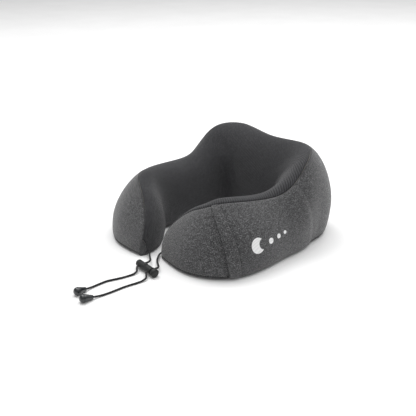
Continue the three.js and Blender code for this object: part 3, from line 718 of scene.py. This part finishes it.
hem_share = np.array([0, 0.06, 0.14, 0.3, 0.5, 0.7, 0.86, 0.95, 1])[:, None]
place = hem_at + (mouth_at - hem_at) * hem_share
lift = rolled_edges(1.7) + 1.6 * eased(up_share * 5) * eased((1 - up_share) * 5) * hem_share ** 2
lift = lift - 1.1 * (1 - eased(hem_share / 0.14))
hem = cloth_patch("pocket_hem_band", place, columns_up + 0 * place, lift + 0.15, 1.3)
for piece, node in ((pocket, "pocket_panel"), (hem, "pocket_hem")):
    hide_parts(node)

# ------------------------------------------------------------------ stitches


def thread_stitch():
    """One short stitch along X, thick in the middle and sunk at its ends; about 30 faces."""
    bpy.ops.mesh.primitive_uv_sphere_add(segments=6, ring_count=5, radius=1, rotation=(0, math.pi / 2, 0))
    stitch = bpy.context.active_object
    bpy.ops.object.transform_apply(rotation=True)
    shape = np.array([v.co for v in stitch.data.vertices])
    shape_faces = [tuple(p.vertices) for p in stitch.data.polygons]
    bpy.data.objects.remove(stitch)
    return shape, shape_faces


STITCH, STITCH_FACES = thread_stitch()


def stitched(name, runs, pitch, size):
    """Stitches of size (length, width, height) along runs of (points, normals) in mm."""
    points, quads = [], []
    for line, normal in runs:
        run = np.concatenate([[0], np.cumsum(np.linalg.norm(np.diff(line, axis=0), axis=1))])
        count = int(run[-1] / pitch)
        for k in range(count):
            at = (k + 0.5) * run[-1] / count
            p, q, n = (np.array([np.interp(s, run, grid[:, c]) for c in range(3)])
                       for s, grid in ((at - 0.5, line), (at + 0.5, line), (at, normal)))
            ahead = unit(q - p)
            side = unit(np.cross(n, ahead))
            frame_of = np.column_stack([ahead, side, np.cross(ahead, side)])
            base = len(points)
            points.extend((STITCH * np.array(size) / 2) @ frame_of.T + (p + q) / 2)
            quads.extend(tuple(base + i for i in f) for f in STITCH_FACES)
    piece = mesh_piece(name, np.array(points) * MM + np.array(SHIFT), quads)
    piece.data.polygons.foreach_set("use_smooth", [True] * len(piece.data.polygons))
    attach(piece, "pillow")
    return piece


def run_on(place, column, lift):
    points, normal, _ = on_cover(np.asarray(place, float), np.asarray(column, float), lift)
    return points, normal


inside = PLACES[abs(PLACES) < 0.975]
neck_line = [run_on(inside, np.full(len(inside), SEAMS["neck"] - 1.7), 0.15 + 0 * inside)]
neck_stitches = stitched("neck_seam_stitches", neck_line, 3.3, (2.3, 0.95, 0.7))
every = PLACES[abs(PLACES) < 0.995]
base_lines = [run_on(every, np.full(len(every), UNDERSIDE[0] + 1.6), 0.1 + 0 * every),
              run_on(inside, np.full(len(inside), UNDERSIDE[1] - 1.6), 0.1 + 0 * inside)]
base_stitches = stitched("base_seam_stitches", base_lines, 3.4, (2.3, 0.7, 0.55))
# Stitches along the back of the hem band. Their dark thread is partly painted shade: it darkens the groove behind
# the hem band.
hem_run = np.linspace(0.04, 0.96, 40)
hem_columns = POCKET_LOW + (POCKET_HIGH - POCKET_LOW) * hem_run
hem_line = [run_on(pocket_edge(hem_run, *MOUTH) - HEM_WIDTH + 0.004, hem_columns, 1.55 + 0 * hem_run)]
hem_stitches = stitched("hem_stitches", hem_line, 3.0, (2.1, 0.8, 0.5))

# ------------------------------------------------------------------ print on the pocket


MARKS = (  # along the pocket, up it and radius in mm, and whether it is the crescent
    (-23, 0, 11, True), (1, -1, 4.2, False), (17, 0, 3.4, False), (30, 1, 2.7, False),
)
# Half angle of the crescent's opening, and how far past its horns the hollow is centred, in mm.
HORN, BITE = 0.75, 1.6


def crescent_rows(radius, rim):
    outer = [(radius * math.cos(a), radius * math.sin(a)) for a in np.linspace(HORN, 2 * math.pi - HORN, rim)]
    reach = radius * math.sin(HORN)
    mid, r = radius * math.cos(HORN) + BITE, math.hypot(BITE, reach)
    spread = math.pi - math.atan2(reach, BITE)
    inner = [(mid + r * math.cos(a), r * math.sin(a)) for a in np.linspace(spread, 2 * math.pi - spread, rim)]
    return [[(o[0] + (n[0] - o[0]) * t, o[1] + (n[1] - o[1]) * t) for o, n in zip(outer, inner)]
            for t in np.linspace(0, 1, 5)]


def dot_rows(radius, rim):
    return [[(radius * t * math.cos(a), radius * t * math.sin(a)) for a in np.linspace(0, 2 * math.pi, rim)]
            for t in (1, 0.75, 0.5, 0.25, 0.02)]


def printed_mark():
    """A plain crescent and three dots, drawn flat beside the arm and pressed onto the pocket cloth."""
    middle = placed(150, -32, 45)
    ahead = Vector((0, 1, 0.06)).normalized()
    up = Vector((0, -0.06, 1)).normalized()
    marks = []
    for along_mark, up_mark, radius, hollow in MARKS:
        rim = 48 if hollow else 28
        rows = crescent_rows(radius, rim) if hollow else dot_rows(radius, rim)
        base = sum(len(m[0]) for m in marks)
        pts = [middle + ahead * (along_mark + x) * MM + up * (up_mark + y) * MM for row in rows for x,
               y in row]
        quads = [(base + i * rim + j, base + i * rim + j + 1,
                  base + (i + 1) * rim + j + 1, base + (i + 1) * rim + j)
                 for i in range(4) for j in range(rim - 1)]
        marks.append((pts, quads))
    piece = mesh_piece("pocket_print", [p for m in marks for p in m[0]], [q for m in marks for q in m[1]])
    select_only(piece)
    bpy.ops.object.mode_set(mode="EDIT")
    bpy.ops.mesh.select_all(action="SELECT")
    bpy.ops.mesh.remove_doubles(threshold=2e-6)
    bpy.ops.object.mode_set(mode="OBJECT")
    press = piece.modifiers.new("press", "SHRINKWRAP")
    press.target, press.wrap_method, press.offset = pocket, "PROJECT", 0.12 * MM
    press.use_project_x, press.use_negative_direction, press.use_positive_direction = True, True, False
    bpy.ops.object.modifier_apply(modifier="press")
    raised = piece.modifiers.new("ink", "SOLIDIFY")
    raised.thickness, raised.offset = 0.2 * MM, 0
    bpy.ops.object.modifier_apply(modifier="ink")
    nothing_selected()
    smooth(piece, 50)
    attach(piece, "pillow")
    return piece


mark = printed_mark()

# ------------------------------------------------------------------ foam core

core_places = np.concatenate([-np.linspace(0.97, 0.03, 40), [0], np.linspace(0.03, 0.97, 40)])
core_turns = np.linspace(0, 4, 49)[None]
core = np.stack([surface([p], core_turns, 4.5)[0] for p in core_places])
core_faces, _ = ring_faces(len(core_places), 49, 24)
foam = mesh_piece("foam_filling", core.reshape(-1, 3) * MM + np.array(SHIFT), outward_faces(core, core_faces))
finer(foam)
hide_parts("foam_core")
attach(foam, "pillow")

# ------------------------------------------------------------------ cord lock

LOCK = placed(0, LOCK_Y, LOCK_Z)
CORD_X, SLOT_HALF, PRESS = (22, 44.5), 1.75, 1.8  # PRESS is how far the button travels
barrel = turned("lock_barrel_shell", [
    (12.5, 0.6), (12.62, 1.7), (12.95, 3), (13.5, 4), (14.2, 4.7), (15, 5.1), (15.9, 5.25), (46.6, 5.25),
    (46.9, 5.5),
    (47.9, 5.5), (48.2, 5.2), (48.2, 4), (48, 3.7), (14.4, 3.7), (14, 3.3), (14, 0.6),
], 48)
pointed(barrel, LOCK, (1, 0, 0))
plunger = turned("lock_button", [
    (19, 2.9), (19.4, 3.35), (50.4, 3.35), (50.5, 5.3), (50.65, 5.8), (51, 6.05), (51.6, 6.15), (54.6, 6.15),
    (55.6, 6), (56.3, 5.6), (56.7, 4.9), (56.9, 3.8), (57, 2.2), (57.02, 0.8),
], 48)
pointed(plunger, LOCK, (1, 0, 0))
for x in CORD_X:
    hole = turned("cord_hole", [(-9, 1.8), (9, 1.8)], 24)
    cut(barrel, pointed(hole, placed(x, LOCK_Y, LOCK_Z), (0, 1, 0)))
    cut(plunger, block("cord_slot", (x - SLOT_HALF, LOCK_Y - 7, LOCK_Z - SLOT_HALF),
                       (x + SLOT_HALF + PRESS, LOCK_Y + 7, LOCK_Z + SLOT_HALF)))
softened(barrel, 0.18 * MM, 2, 40)

# The lug is a small rounded block half sunk in the top of the barrel.
lug = block("lock_lug", (31, LOCK_Y - 2.5, LOCK_Z + 3.5), (35.5, LOCK_Y + 2.5, LOCK_Z + 6.4))
select_only(lug)
bpy.ops.object.mode_set(mode="EDIT")
bpy.ops.mesh.select_all(action="SELECT")
bpy.ops.mesh.bevel(offset=1.05 * MM, segments=4, affect="EDGES")
bpy.ops.object.mode_set(mode="OBJECT")
nothing_selected()
select_only(barrel)
joined = barrel.modifiers.new("lug", "BOOLEAN")
joined.object, joined.operation, joined.solver = lug, "UNION", "EXACT"
bpy.ops.object.modifier_apply(modifier="lug")
bpy.data.objects.remove(lug)
nothing_selected()
for piece, node, body in ((barrel, "lock_barrel", "cord_lock"), (plunger, "lock_plunger", "lock_plunger")):
    smooth(piece, 35)
    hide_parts(node)
    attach(piece, body)

# The spring is a coil of wire along the length of the spring part.
coil_low, coil_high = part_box("lock_spring")
SPRING_TURNS, SPRING_RADIUS, SPRING_WIRE = 3.5, 2.55, 0.33
coil_run = np.linspace(0, 2 * SPRING_TURNS * math.pi, 85)
coil_from, coil_to = (coil_low.x - SHIFT.x) / MM + 0.35, (coil_high.x - SHIFT.x) / MM - 0.35
spring = tube("lock_spring_coil", [
    (coil_from + (coil_to - coil_from) * a / coil_run[-1],
     LOCK_Y + SPRING_RADIUS * math.cos(a), LOCK_Z + SPRING_RADIUS * math.sin(a))
    for a in coil_run], SPRING_WIRE, 8)
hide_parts("lock_spring")
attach(spring, "cord_lock")
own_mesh(spring)

# ------------------------------------------------------------------ zip: coiled teeth over each tape


def zip_teeth(name, node, sign):
    low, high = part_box(node)
    pitch, reach = 1.3, (high.y - low.y) / MM + 0.28
    turns = int((high.x - low.x) / MM / pitch) - 1
    mid = (low + high) / 2
    points = []
    for a in np.linspace(0, turns * 2 * math.pi, turns * 10 + 1):
        x = low.x / MM + pitch * a / (2 * math.pi) + (0.1 if sign < 0 else 0.7)
        y = ZIP_Y + sign * (reach / 2 + 0.36 + (reach / 2 - 0.14) * math.cos(a))
        points.append((x - SHIFT.x / MM, y, mid.z / MM + 0.26 * math.sin(a)))
    piece = tube(name, points, 0.14, 5)
    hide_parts(node)
    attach(piece, "pillow")
    return piece


# A strip of tape behind the teeth keeps the foam from showing and the slider from catching it.
GUARD_HALF, GUARD_ROOM = 9, 0.75
guard_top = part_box("zip_slider")[1].z / MM + GUARD_ROOM
guard = block("zip_guard_tape", (-ZIP_HALF, ZIP_Y - GUARD_HALF, guard_top - 0.4),
              (ZIP_HALF, ZIP_Y + GUARD_HALF, guard_top))
softened(guard, 0.12 * MM, 2)
smooth(guard, 50)
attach(guard, "pillow")

teeth = [zip_teeth("zip_teeth_front", "zip_coil_front", -1), zip_teeth("zip_teeth_rear", "zip_coil_rear", 1)]

# ------------------------------------------------------------------ finishes


def socket(group, name, kind, output=False, value=None):
    item = group.interface.new_socket(name=name, in_out="OUTPUT" if output else "INPUT", socket_type=kind)
    if value is not None:
        item.default_value = value
    return item


class Sheet:
    """A node tree being drawn: nodes are added by kind and wired by their inputs."""

    def __init__(self, tree):
        self.tree = tree

    def add(self, kind, **values):
        node = self.tree.nodes.new(kind)
        for key, value in values.items():
            if hasattr(node, key):
                setattr(node, key, value)
        return node

    def wire(self, source, target):
        self.tree.links.new(source, target)

    def maths(self, operation, a, b=None):
        node = self.add("ShaderNodeMath", operation=operation)
        for slot_number, value in enumerate((a, b)):
            if value is None:
                continue
            if isinstance(value, (int, float)):
                node.inputs[slot_number].default_value = value
            else:
                self.wire(value, node.inputs[slot_number])
        return node.outputs[0]

    def noise(self, vector, scale, detail=3, roughness=0.55):
        node = self.add("ShaderNodeTexNoise")
        node.inputs["Scale"].default_value = scale
        node.inputs["Detail"].default_value = detail
        node.inputs["Roughness"].default_value = roughness
        self.wire(vector, node.inputs["Vector"])
        return node.outputs["Fac"]

    def ramp(self, value, *stops):
        node = self.add("ShaderNodeValToRGB")
        while len(node.color_ramp.elements) < len(stops):
            node.color_ramp.elements.new(0.5)
        for element, (position, colour) in zip(node.color_ramp.elements, stops):
            element.position, element.color = position, (*colour, 1)
        self.wire(value, node.inputs["Fac"])
        return node.outputs["Color"]

    def scaled(self, vector, scale):
        node = self.add("ShaderNodeVectorMath", operation="MULTIPLY")
        self.wire(vector, node.inputs[0])
        node.inputs[1].default_value = scale
        return node.outputs[0]

    def blend_colours(self, factor, a, b, mode="MIX"):
        node = self.add("ShaderNodeMix", data_type="RGBA", blend_type=mode)
        for value, target in ((factor, node.inputs[0]), (a, node.inputs[6]), (b, node.inputs[7])):
            if isinstance(value, (int, float)):
                target.default_value = value
            elif isinstance(value, tuple):
                target.default_value = (*value, 1)
            else:
                self.wire(value, target)
        return node.outputs[2]


def new_group(name, inputs, outputs):
    group = bpy.data.node_groups.new(name, "ShaderNodeTree")
    for label, kind, value in inputs:
        socket(group, label, kind, False, value)
    for label, kind in outputs:
        socket(group, label, kind, True)
    sheet = Sheet(group)
    return group, sheet, sheet.add("NodeGroupInput").outputs, sheet.add("NodeGroupOutput").inputs


def knit_loops_group():
    """Rows of small V stitches. Pitch is the width of a stitch in metres."""
    group, s, given, gives = new_group("knit_loops", [
        ("Vector", "NodeSocketVector", None), ("Pitch", "NodeSocketFloat", 0.0012)],
        [("Height", "NodeSocketFloat")])
    split = s.add("ShaderNodeSeparateXYZ")
    s.wire(given["Vector"], split.inputs[0])
    u = s.maths("DIVIDE", split.outputs[0], given["Pitch"])
    v = s.maths("DIVIDE", split.outputs[1], given["Pitch"])
    wale = s.maths("ABSOLUTE", s.maths("SINE", s.maths("MULTIPLY", u, math.pi)))
    lean = s.maths("ABSOLUTE", s.maths("SUBTRACT", s.maths("FRACT", u), 0.5))
    course = s.maths("SINE", s.maths("MULTIPLY", s.maths("ADD", s.maths("MULTIPLY", v, 1.3), lean),
                                     2 * math.pi))
    loop = s.maths("MULTIPLY_ADD", course, 0.5)
    loop.node.inputs[2].default_value = 0.5
    s.wire(s.maths("MULTIPLY", wale, loop), gives["Height"])
    return group


def heather_group():
    """Mixed light and dark fibres in one yarn: a colour that changes fleck by fleck, and the fuzz over it."""
    group, s, given, gives = new_group("heather_yarn", [
        ("Vector", "NodeSocketVector", None), ("Dark", "NodeSocketColor", (0.03, 0.03, 0.03, 1)),
        ("Middle", "NodeSocketColor", (0.1, 0.1, 0.1, 1)), ("Light", "NodeSocketColor", (0.3, 0.3, 0.3, 1))],
        [("Color", "NodeSocketColor"), ("Fuzz", "NodeSocketFloat")])
    flecks = s.noise(s.scaled(given["Vector"], (900, 620, 700)), 1, 2, 0.6)
    clumps = s.noise(s.scaled(given["Vector"], (240, 190, 200)), 1, 2, 0.5)
    drift = s.noise(s.scaled(given["Vector"], (14, 14, 14)), 1, 1, 0.5)
    mixed = s.maths("ADD", s.maths("MULTIPLY", flecks, 0.78), s.maths("MULTIPLY", clumps, 0.22))
    dark = s.ramp(mixed, (0.36, (0, 0, 0)), (0.53, (1, 1, 1)))
    light = s.ramp(mixed, (0.52, (0, 0, 0)), (0.68, (1, 1, 1)))
    colour = s.blend_colours(dark, given["Dark"], given["Middle"])
    colour = s.blend_colours(light, colour, given["Light"])
    tone = s.ramp(drift, (0.3, (0.88, 0.88, 0.88)), (0.7, (1.08, 1.08, 1.08)))
    s.wire(s.blend_colours(1.0, colour, tone, "MULTIPLY"), gives["Color"])
    s.wire(s.noise(s.scaled(given["Vector"], (2200, 1500, 1800)), 1, 3, 0.7), gives["Fuzz"])
    return group


def grain_group():
    """The fine grain of a moulded part, with faint scuffs."""
    group, s, given, gives = new_group("moulded_grain", [
        ("Vector", "NodeSocketVector", None), ("Grain", "NodeSocketFloat", 3000.0)],
        [("Height", "NodeSocketFloat"), ("Scuffs", "NodeSocketFloat")])
    node = s.add("ShaderNodeTexNoise")
    s.wire(given["Vector"], node.inputs["Vector"])
    s.wire(given["Grain"], node.inputs["Scale"])
    node.inputs["Detail"].default_value = 4
    s.wire(node.outputs["Fac"], gives["Height"])
    rubbed = s.noise(s.scaled(given["Vector"], (260, 900, 400)), 1, 4, 0.65)
    marks = s.ramp(rubbed, (0.58, (0, 0, 0)), (0.74, (1, 1, 1)))
    s.wire(marks, gives["Scuffs"])
    return group


KNIT_LOOPS, HEATHER, GRAIN = knit_loops_group(), heather_group(), grain_group()


def finish(name, roughness, metallic=0.0, sheen=0.0, coat=0.0, specular=0.5):
    material = bpy.data.materials.new(name)
    material.use_nodes = True
    shader = material.node_tree.nodes["Principled BSDF"]
    for label, value in (("Roughness", roughness), ("Metallic", metallic), ("Sheen Weight", sheen),
                         ("Sheen Roughness", 0.45), ("Coat Weight", coat), ("Specular IOR Level", specular),
                         ("Sheen Tint", (1, 1, 1, 1))):
        shader.inputs[label].default_value = value
    s = Sheet(material.node_tree)
    coordinates = s.add("ShaderNodeTexCoord")
    return material, s, shader, coordinates.outputs


def group_node(s, group, vector, **values):
    node = s.add("ShaderNodeGroup")
    node.node_tree = group
    s.wire(vector, node.inputs["Vector"])
    for label, value in values.items():
        node.inputs[label].default_value = value
    return node.outputs


def bumped(s, shader, height, strength, distance, under=None):
    bump = s.add("ShaderNodeBump")
    bump.inputs["Strength"].default_value, bump.inputs["Distance"].default_value = strength, distance
    s.wire(height, bump.inputs["Height"])
    if under is not None:
        s.wire(under, bump.inputs["Normal"])
    s.wire(bump.outputs[0], shader.inputs["Normal"])
    return bump.outputs[0]


def grey(level, cool=0.0):
    return (level, level, level * (1 + cool), 1)


def heather_finish(name, dark, middle, light, sheen=0.4):
    material, s, shader, at = finish(name, 0.92, sheen=sheen, specular=0.2)
    yarn = group_node(s, HEATHER, at["UV"], Dark=grey(dark, 0.04), Middle=grey(middle, 0.03),
                      Light=grey(light, 0.02))
    loops = group_node(s, KNIT_LOOPS, at["UV"], Pitch=0.00115)
    shade = s.ramp(loops["Height"], (0.0, (0.62,) * 3), (0.8, (1.12,) * 3))
    shaded = s.blend_colours(0.55, yarn["Color"], shade, "MULTIPLY")
    s.wire(shaded, shader.inputs["Base Color"])
    relief = s.maths("ADD", loops["Height"], s.maths("MULTIPLY", yarn["Fuzz"], 0.7))
    bumped(s, shader, relief, 0.55, 0.0004)
    return material


RIB_PITCH, BAR_PITCH, SLANT = 0.0022, 0.0013, (0.64, 0.77)


def ribbed_finish():
    """A dark knit with fine slanting ribs, darker between them."""
    material, s, shader, at = finish("ribbed_knit", 0.9, sheen=0.2, specular=0.2)
    split = s.add("ShaderNodeSeparateXYZ")
    s.wire(at["UV"], split.inputs[0])
    across = s.maths("ADD", s.maths("MULTIPLY", split.outputs[0], SLANT[0]),
                     s.maths("MULTIPLY", split.outputs[1], SLANT[1]))
    wave = s.maths("SINE", s.maths("MULTIPLY", across, 2 * math.pi / RIB_PITCH))
    rib = s.maths("MULTIPLY_ADD", wave, 0.5)
    rib.node.inputs[2].default_value = 0.5
    along_rib = s.maths("SUBTRACT", s.maths("MULTIPLY", split.outputs[0], SLANT[1]),
                        s.maths("MULTIPLY", split.outputs[1], SLANT[0]))
    bars = s.maths("SINE", s.maths("MULTIPLY", along_rib, 2 * math.pi / BAR_PITCH))
    ladder = s.maths("ADD", rib, s.maths("MULTIPLY", bars, 0.16))
    yarn = group_node(s, HEATHER, at["UV"], Dark=grey(0.029, 0.07), Middle=grey(0.047, 0.07),
                      Light=grey(0.076, 0.06))
    shade = s.ramp(ladder, (0.0, (0.5,) * 3), (0.9, (1.35,) * 3))
    s.wire(s.blend_colours(1.0, yarn["Color"], shade, "MULTIPLY"), shader.inputs["Base Color"])
    relief = s.maths("ADD", ladder, s.maths("MULTIPLY", yarn["Fuzz"], 0.35))
    bumped(s, shader, relief, 0.7, 0.0005)
    return material


STRAND_PITCH = 0.002


def braid_finish():
    """A round braid of fine strands that cross each other on the slant."""
    material, s, shader, at = finish("braided_cord", 0.7, sheen=0.15, specular=0.3)
    split = s.add("ShaderNodeSeparateXYZ")
    s.wire(at["UV"], split.inputs[0])
    a = s.maths("MULTIPLY", s.maths("ADD", split.outputs[0], split.outputs[1]), 2 * math.pi / STRAND_PITCH)
    b = s.maths("MULTIPLY", s.maths("SUBTRACT", split.outputs[0], split.outputs[1]),
                2 * math.pi / STRAND_PITCH)
    strands = s.maths("MAXIMUM", s.maths("SINE", a), s.maths("SINE", b))
    fuzz = s.noise(s.scaled(at["Object"], (4000, 4000, 4000)), 1, 2, 0.6)
    s.wire(s.ramp(strands, (0.1, (0.004, 0.004, 0.005)), (1.0, (0.017, 0.017, 0.019))),
           shader.inputs["Base Color"])
    bumped(s, shader, s.maths("ADD", strands, s.maths("MULTIPLY", fuzz, 0.4)), 0.8, 0.0003)
    return material


def plastic_finish(name, colour, roughness, grain, depth, coat=0.0):
    material, s, shader, at = finish(name, roughness, coat=coat)
    skin = group_node(s, GRAIN, at["Object"], Grain=grain)
    lighter = tuple(c * 1.5 for c in colour)
    s.wire(s.blend_colours(s.maths("MULTIPLY", skin["Scuffs"], 0.4), colour, lighter),
           shader.inputs["Base Color"])
    rough = s.maths("ADD", s.maths("MULTIPLY", skin["Scuffs"], 0.12), roughness)
    s.wire(rough, shader.inputs["Roughness"])
    bumped(s, shader, skin["Height"], 0.35, depth)
    return material


def metal_finish(name, colour, roughness):
    material, s, shader, at = finish(name, roughness, metallic=1.0)
    skin = group_node(s, GRAIN, at["Object"], Grain=2400.0)
    lighter = tuple(min(1, c * 1.7) for c in colour)
    s.wire(s.blend_colours(skin["Scuffs"], colour, lighter), shader.inputs["Base Color"])
    s.wire(s.maths("ADD", s.maths("MULTIPLY", skin["Scuffs"], 0.2), roughness), shader.inputs["Roughness"])
    bumped(s, shader, skin["Height"], 0.2, 0.00005)
    return material


def tape_finish():
    """Twill tape: slanting yarns that pass over two and under one."""
    material, s, shader, at = finish("twill_tape", 0.85, sheen=0.2, specular=0.2)
    split = s.add("ShaderNodeSeparateXYZ")
    s.wire(at["Object"], split.inputs[0])
    diagonal = s.maths("ADD", split.outputs[0], split.outputs[1])
    slant = s.maths("SINE", s.maths("MULTIPLY", diagonal, 2 * math.pi / 0.0011))
    cross = s.maths("SINE", s.maths("MULTIPLY", split.outputs[1], 2 * math.pi / 0.0007))
    weave = s.maths("MULTIPLY_ADD", cross, 0.3)
    s.wire(slant, weave.node.inputs[2])
    s.wire(s.ramp(weave, (0.1, (0.010, 0.010, 0.011)), (1.0, (0.030, 0.030, 0.032))),
           shader.inputs["Base Color"])
    bumped(s, shader, weave, 0.6, 0.0003)
    return material


def foam_finish():
    """Open-cell foam: pale, with small round pores."""
    material, s, shader, at = finish("memory_foam", 0.95, specular=0.2)
    pores = s.add("ShaderNodeTexVoronoi")
    pores.inputs["Scale"].default_value = 900
    s.wire(at["Object"], pores.inputs["Vector"])
    colour = s.ramp(pores.outputs["Distance"], (0.1, (0.42, 0.38, 0.29)), (0.5, (0.78, 0.74, 0.62)))
    s.wire(colour, shader.inputs["Base Color"])
    bumped(s, shader, pores.outputs["Distance"], 0.5, 0.0005)
    return material


def thread_finish(name, low, high):
    """Twisted sewing thread."""
    material, s, shader, at = finish(name, 0.7, sheen=0.2)
    twist = s.noise(s.scaled(at["Object"], (3200, 3200, 3200)), 1, 2, 0.6)
    s.wire(s.ramp(twist, (0.35, grey(low)[:3]), (0.65, grey(high)[:3])), shader.inputs["Base Color"])
    bumped(s, shader, twist, 0.4, 0.0002)
    return material


def ink_finish():
    """Rubbery white print that lets the knit show through a little."""
    material, s, shader, at = finish("white_print", 0.55)
    loops = group_node(s, KNIT_LOOPS, at["Object"], Pitch=0.0012)
    colour = s.ramp(loops["Height"], (0.0, (0.68, 0.68, 0.68)), (0.6, (0.88, 0.88, 0.88)))
    s.wire(colour, shader.inputs["Base Color"])
    bumped(s, shader, loops["Height"], 0.3, 0.0002)
    return material


def dressed(material, *pieces):
    for piece in pieces:
        piece.data.materials.clear()
        piece.data.materials.append(material)


def node_dressed(material, *names):
    for name in names:
        for slot_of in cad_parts[name].material_slots:
            slot_of.material = material


heather = heather_finish("heather_knit", 0.025, 0.085, 0.25)
heather_base = heather_finish("base_knit", 0.03, 0.08, 0.17, sheen=0.2)
ribbed = ribbed_finish()
dressed(heather, panels["side_left"], panels["side_right"], pocket, hem)
dressed(heather_base, panels["base"])
dressed(ribbed, panels["neck"])
braid = braid_finish()
matte = plastic_finish("matte_plastic", (0.006, 0.0075, 0.0075), 0.55, 2600.0, 0.00008)
gloss = plastic_finish("gloss_plastic", (0.008, 0.011, 0.013), 0.2, 1200.0, 0.00002, coat=0.4)
for cord, bell, cap, knot in cord_pieces.values():
    dressed(braid, cord, knot)
    dressed(gloss, bell, cap)
dressed(matte, barrel, plunger)
# Dark thread on the neck seam and the hem. On the hem it is partly painted shade for the groove behind the hem
# band.
dressed(thread_finish("dark_thread", 0.006, 0.016), neck_stitches, hem_stitches)
dressed(thread_finish("grey_thread", 0.020, 0.045), base_stitches)
dressed(ink_finish(), mark)
dressed(foam_finish(), foam)
coil_nylon = plastic_finish("coil_nylon", (0.012, 0.012, 0.013), 0.4, 2600.0, 0.00003)
dressed(coil_nylon, *teeth)
dark_metal = metal_finish("dark_metal", (0.035, 0.036, 0.04), 0.32)
twill = tape_finish()
dressed(twill, guard)
node_dressed(twill, "zip_tape_front", "zip_tape_rear", "cord_anchor_left", "cord_anchor_right")
node_dressed(dark_metal, "zip_stop_open", "zip_stop_closed", "zip_slider", "zip_pull")
dressed(metal_finish("spring_steel", (0.55, 0.56, 0.58), 0.25), spring)

# ------------------------------------------------------------------ floor and light

FLOOR_SIZE, FLOOR_DROP = 24, 0.0003
bpy.ops.mesh.primitive_plane_add(size=FLOOR_SIZE, location=(0, 0, -FLOOR_DROP))
floor = bpy.context.active_object
floor.name = "studio_floor"
nothing_selected()
paper, s, shader, at = finish("studio_paper", 0.9, specular=0.1)
tone = s.noise(at["Object"], 6, 2)
s.wire(s.ramp(tone, (0.3, (0.90, 0.90, 0.90)), (0.7, (0.93, 0.93, 0.93))), shader.inputs["Base Color"])
dressed(paper, floor)


def softbox(name, turn, rise, distance, size, power):
    a, e = math.radians(turn), math.radians(rise)
    away = Vector((math.sin(a) * math.cos(e), -math.cos(a) * math.cos(e), math.sin(e)))
    data = bpy.data.lights.new(name, "AREA")
    data.shape, data.size, data.energy = "SQUARE", size, power
    lamp = bpy.data.objects.new(name, data)
    lamp.location = away * distance
    lamp.rotation_euler = away.to_track_quat("Z", "Y").to_euler()
    bpy.context.scene.collection.objects.link(lamp)


softbox("overhead_softbox", turn=170, rise=74, distance=3.0, size=4.0, power=78)
softbox("rear_softbox", turn=185, rise=46, distance=2.2, size=1.3, power=6)
softbox("left_rim_softbox", turn=275, rise=64, distance=2.3, size=1.2, power=19)
softbox("front_fill", turn=20, rise=35, distance=2.6, size=1.6, power=1)
world = bpy.data.worlds.new("studio")
world.use_nodes = True
world.node_tree.nodes["Background"].inputs["Color"].default_value = (1, 1, 1, 1)
world.node_tree.nodes["Background"].inputs["Strength"].default_value = 0.5
bpy.context.scene.world = world
bpy.context.scene.view_settings.view_transform = "Standard"
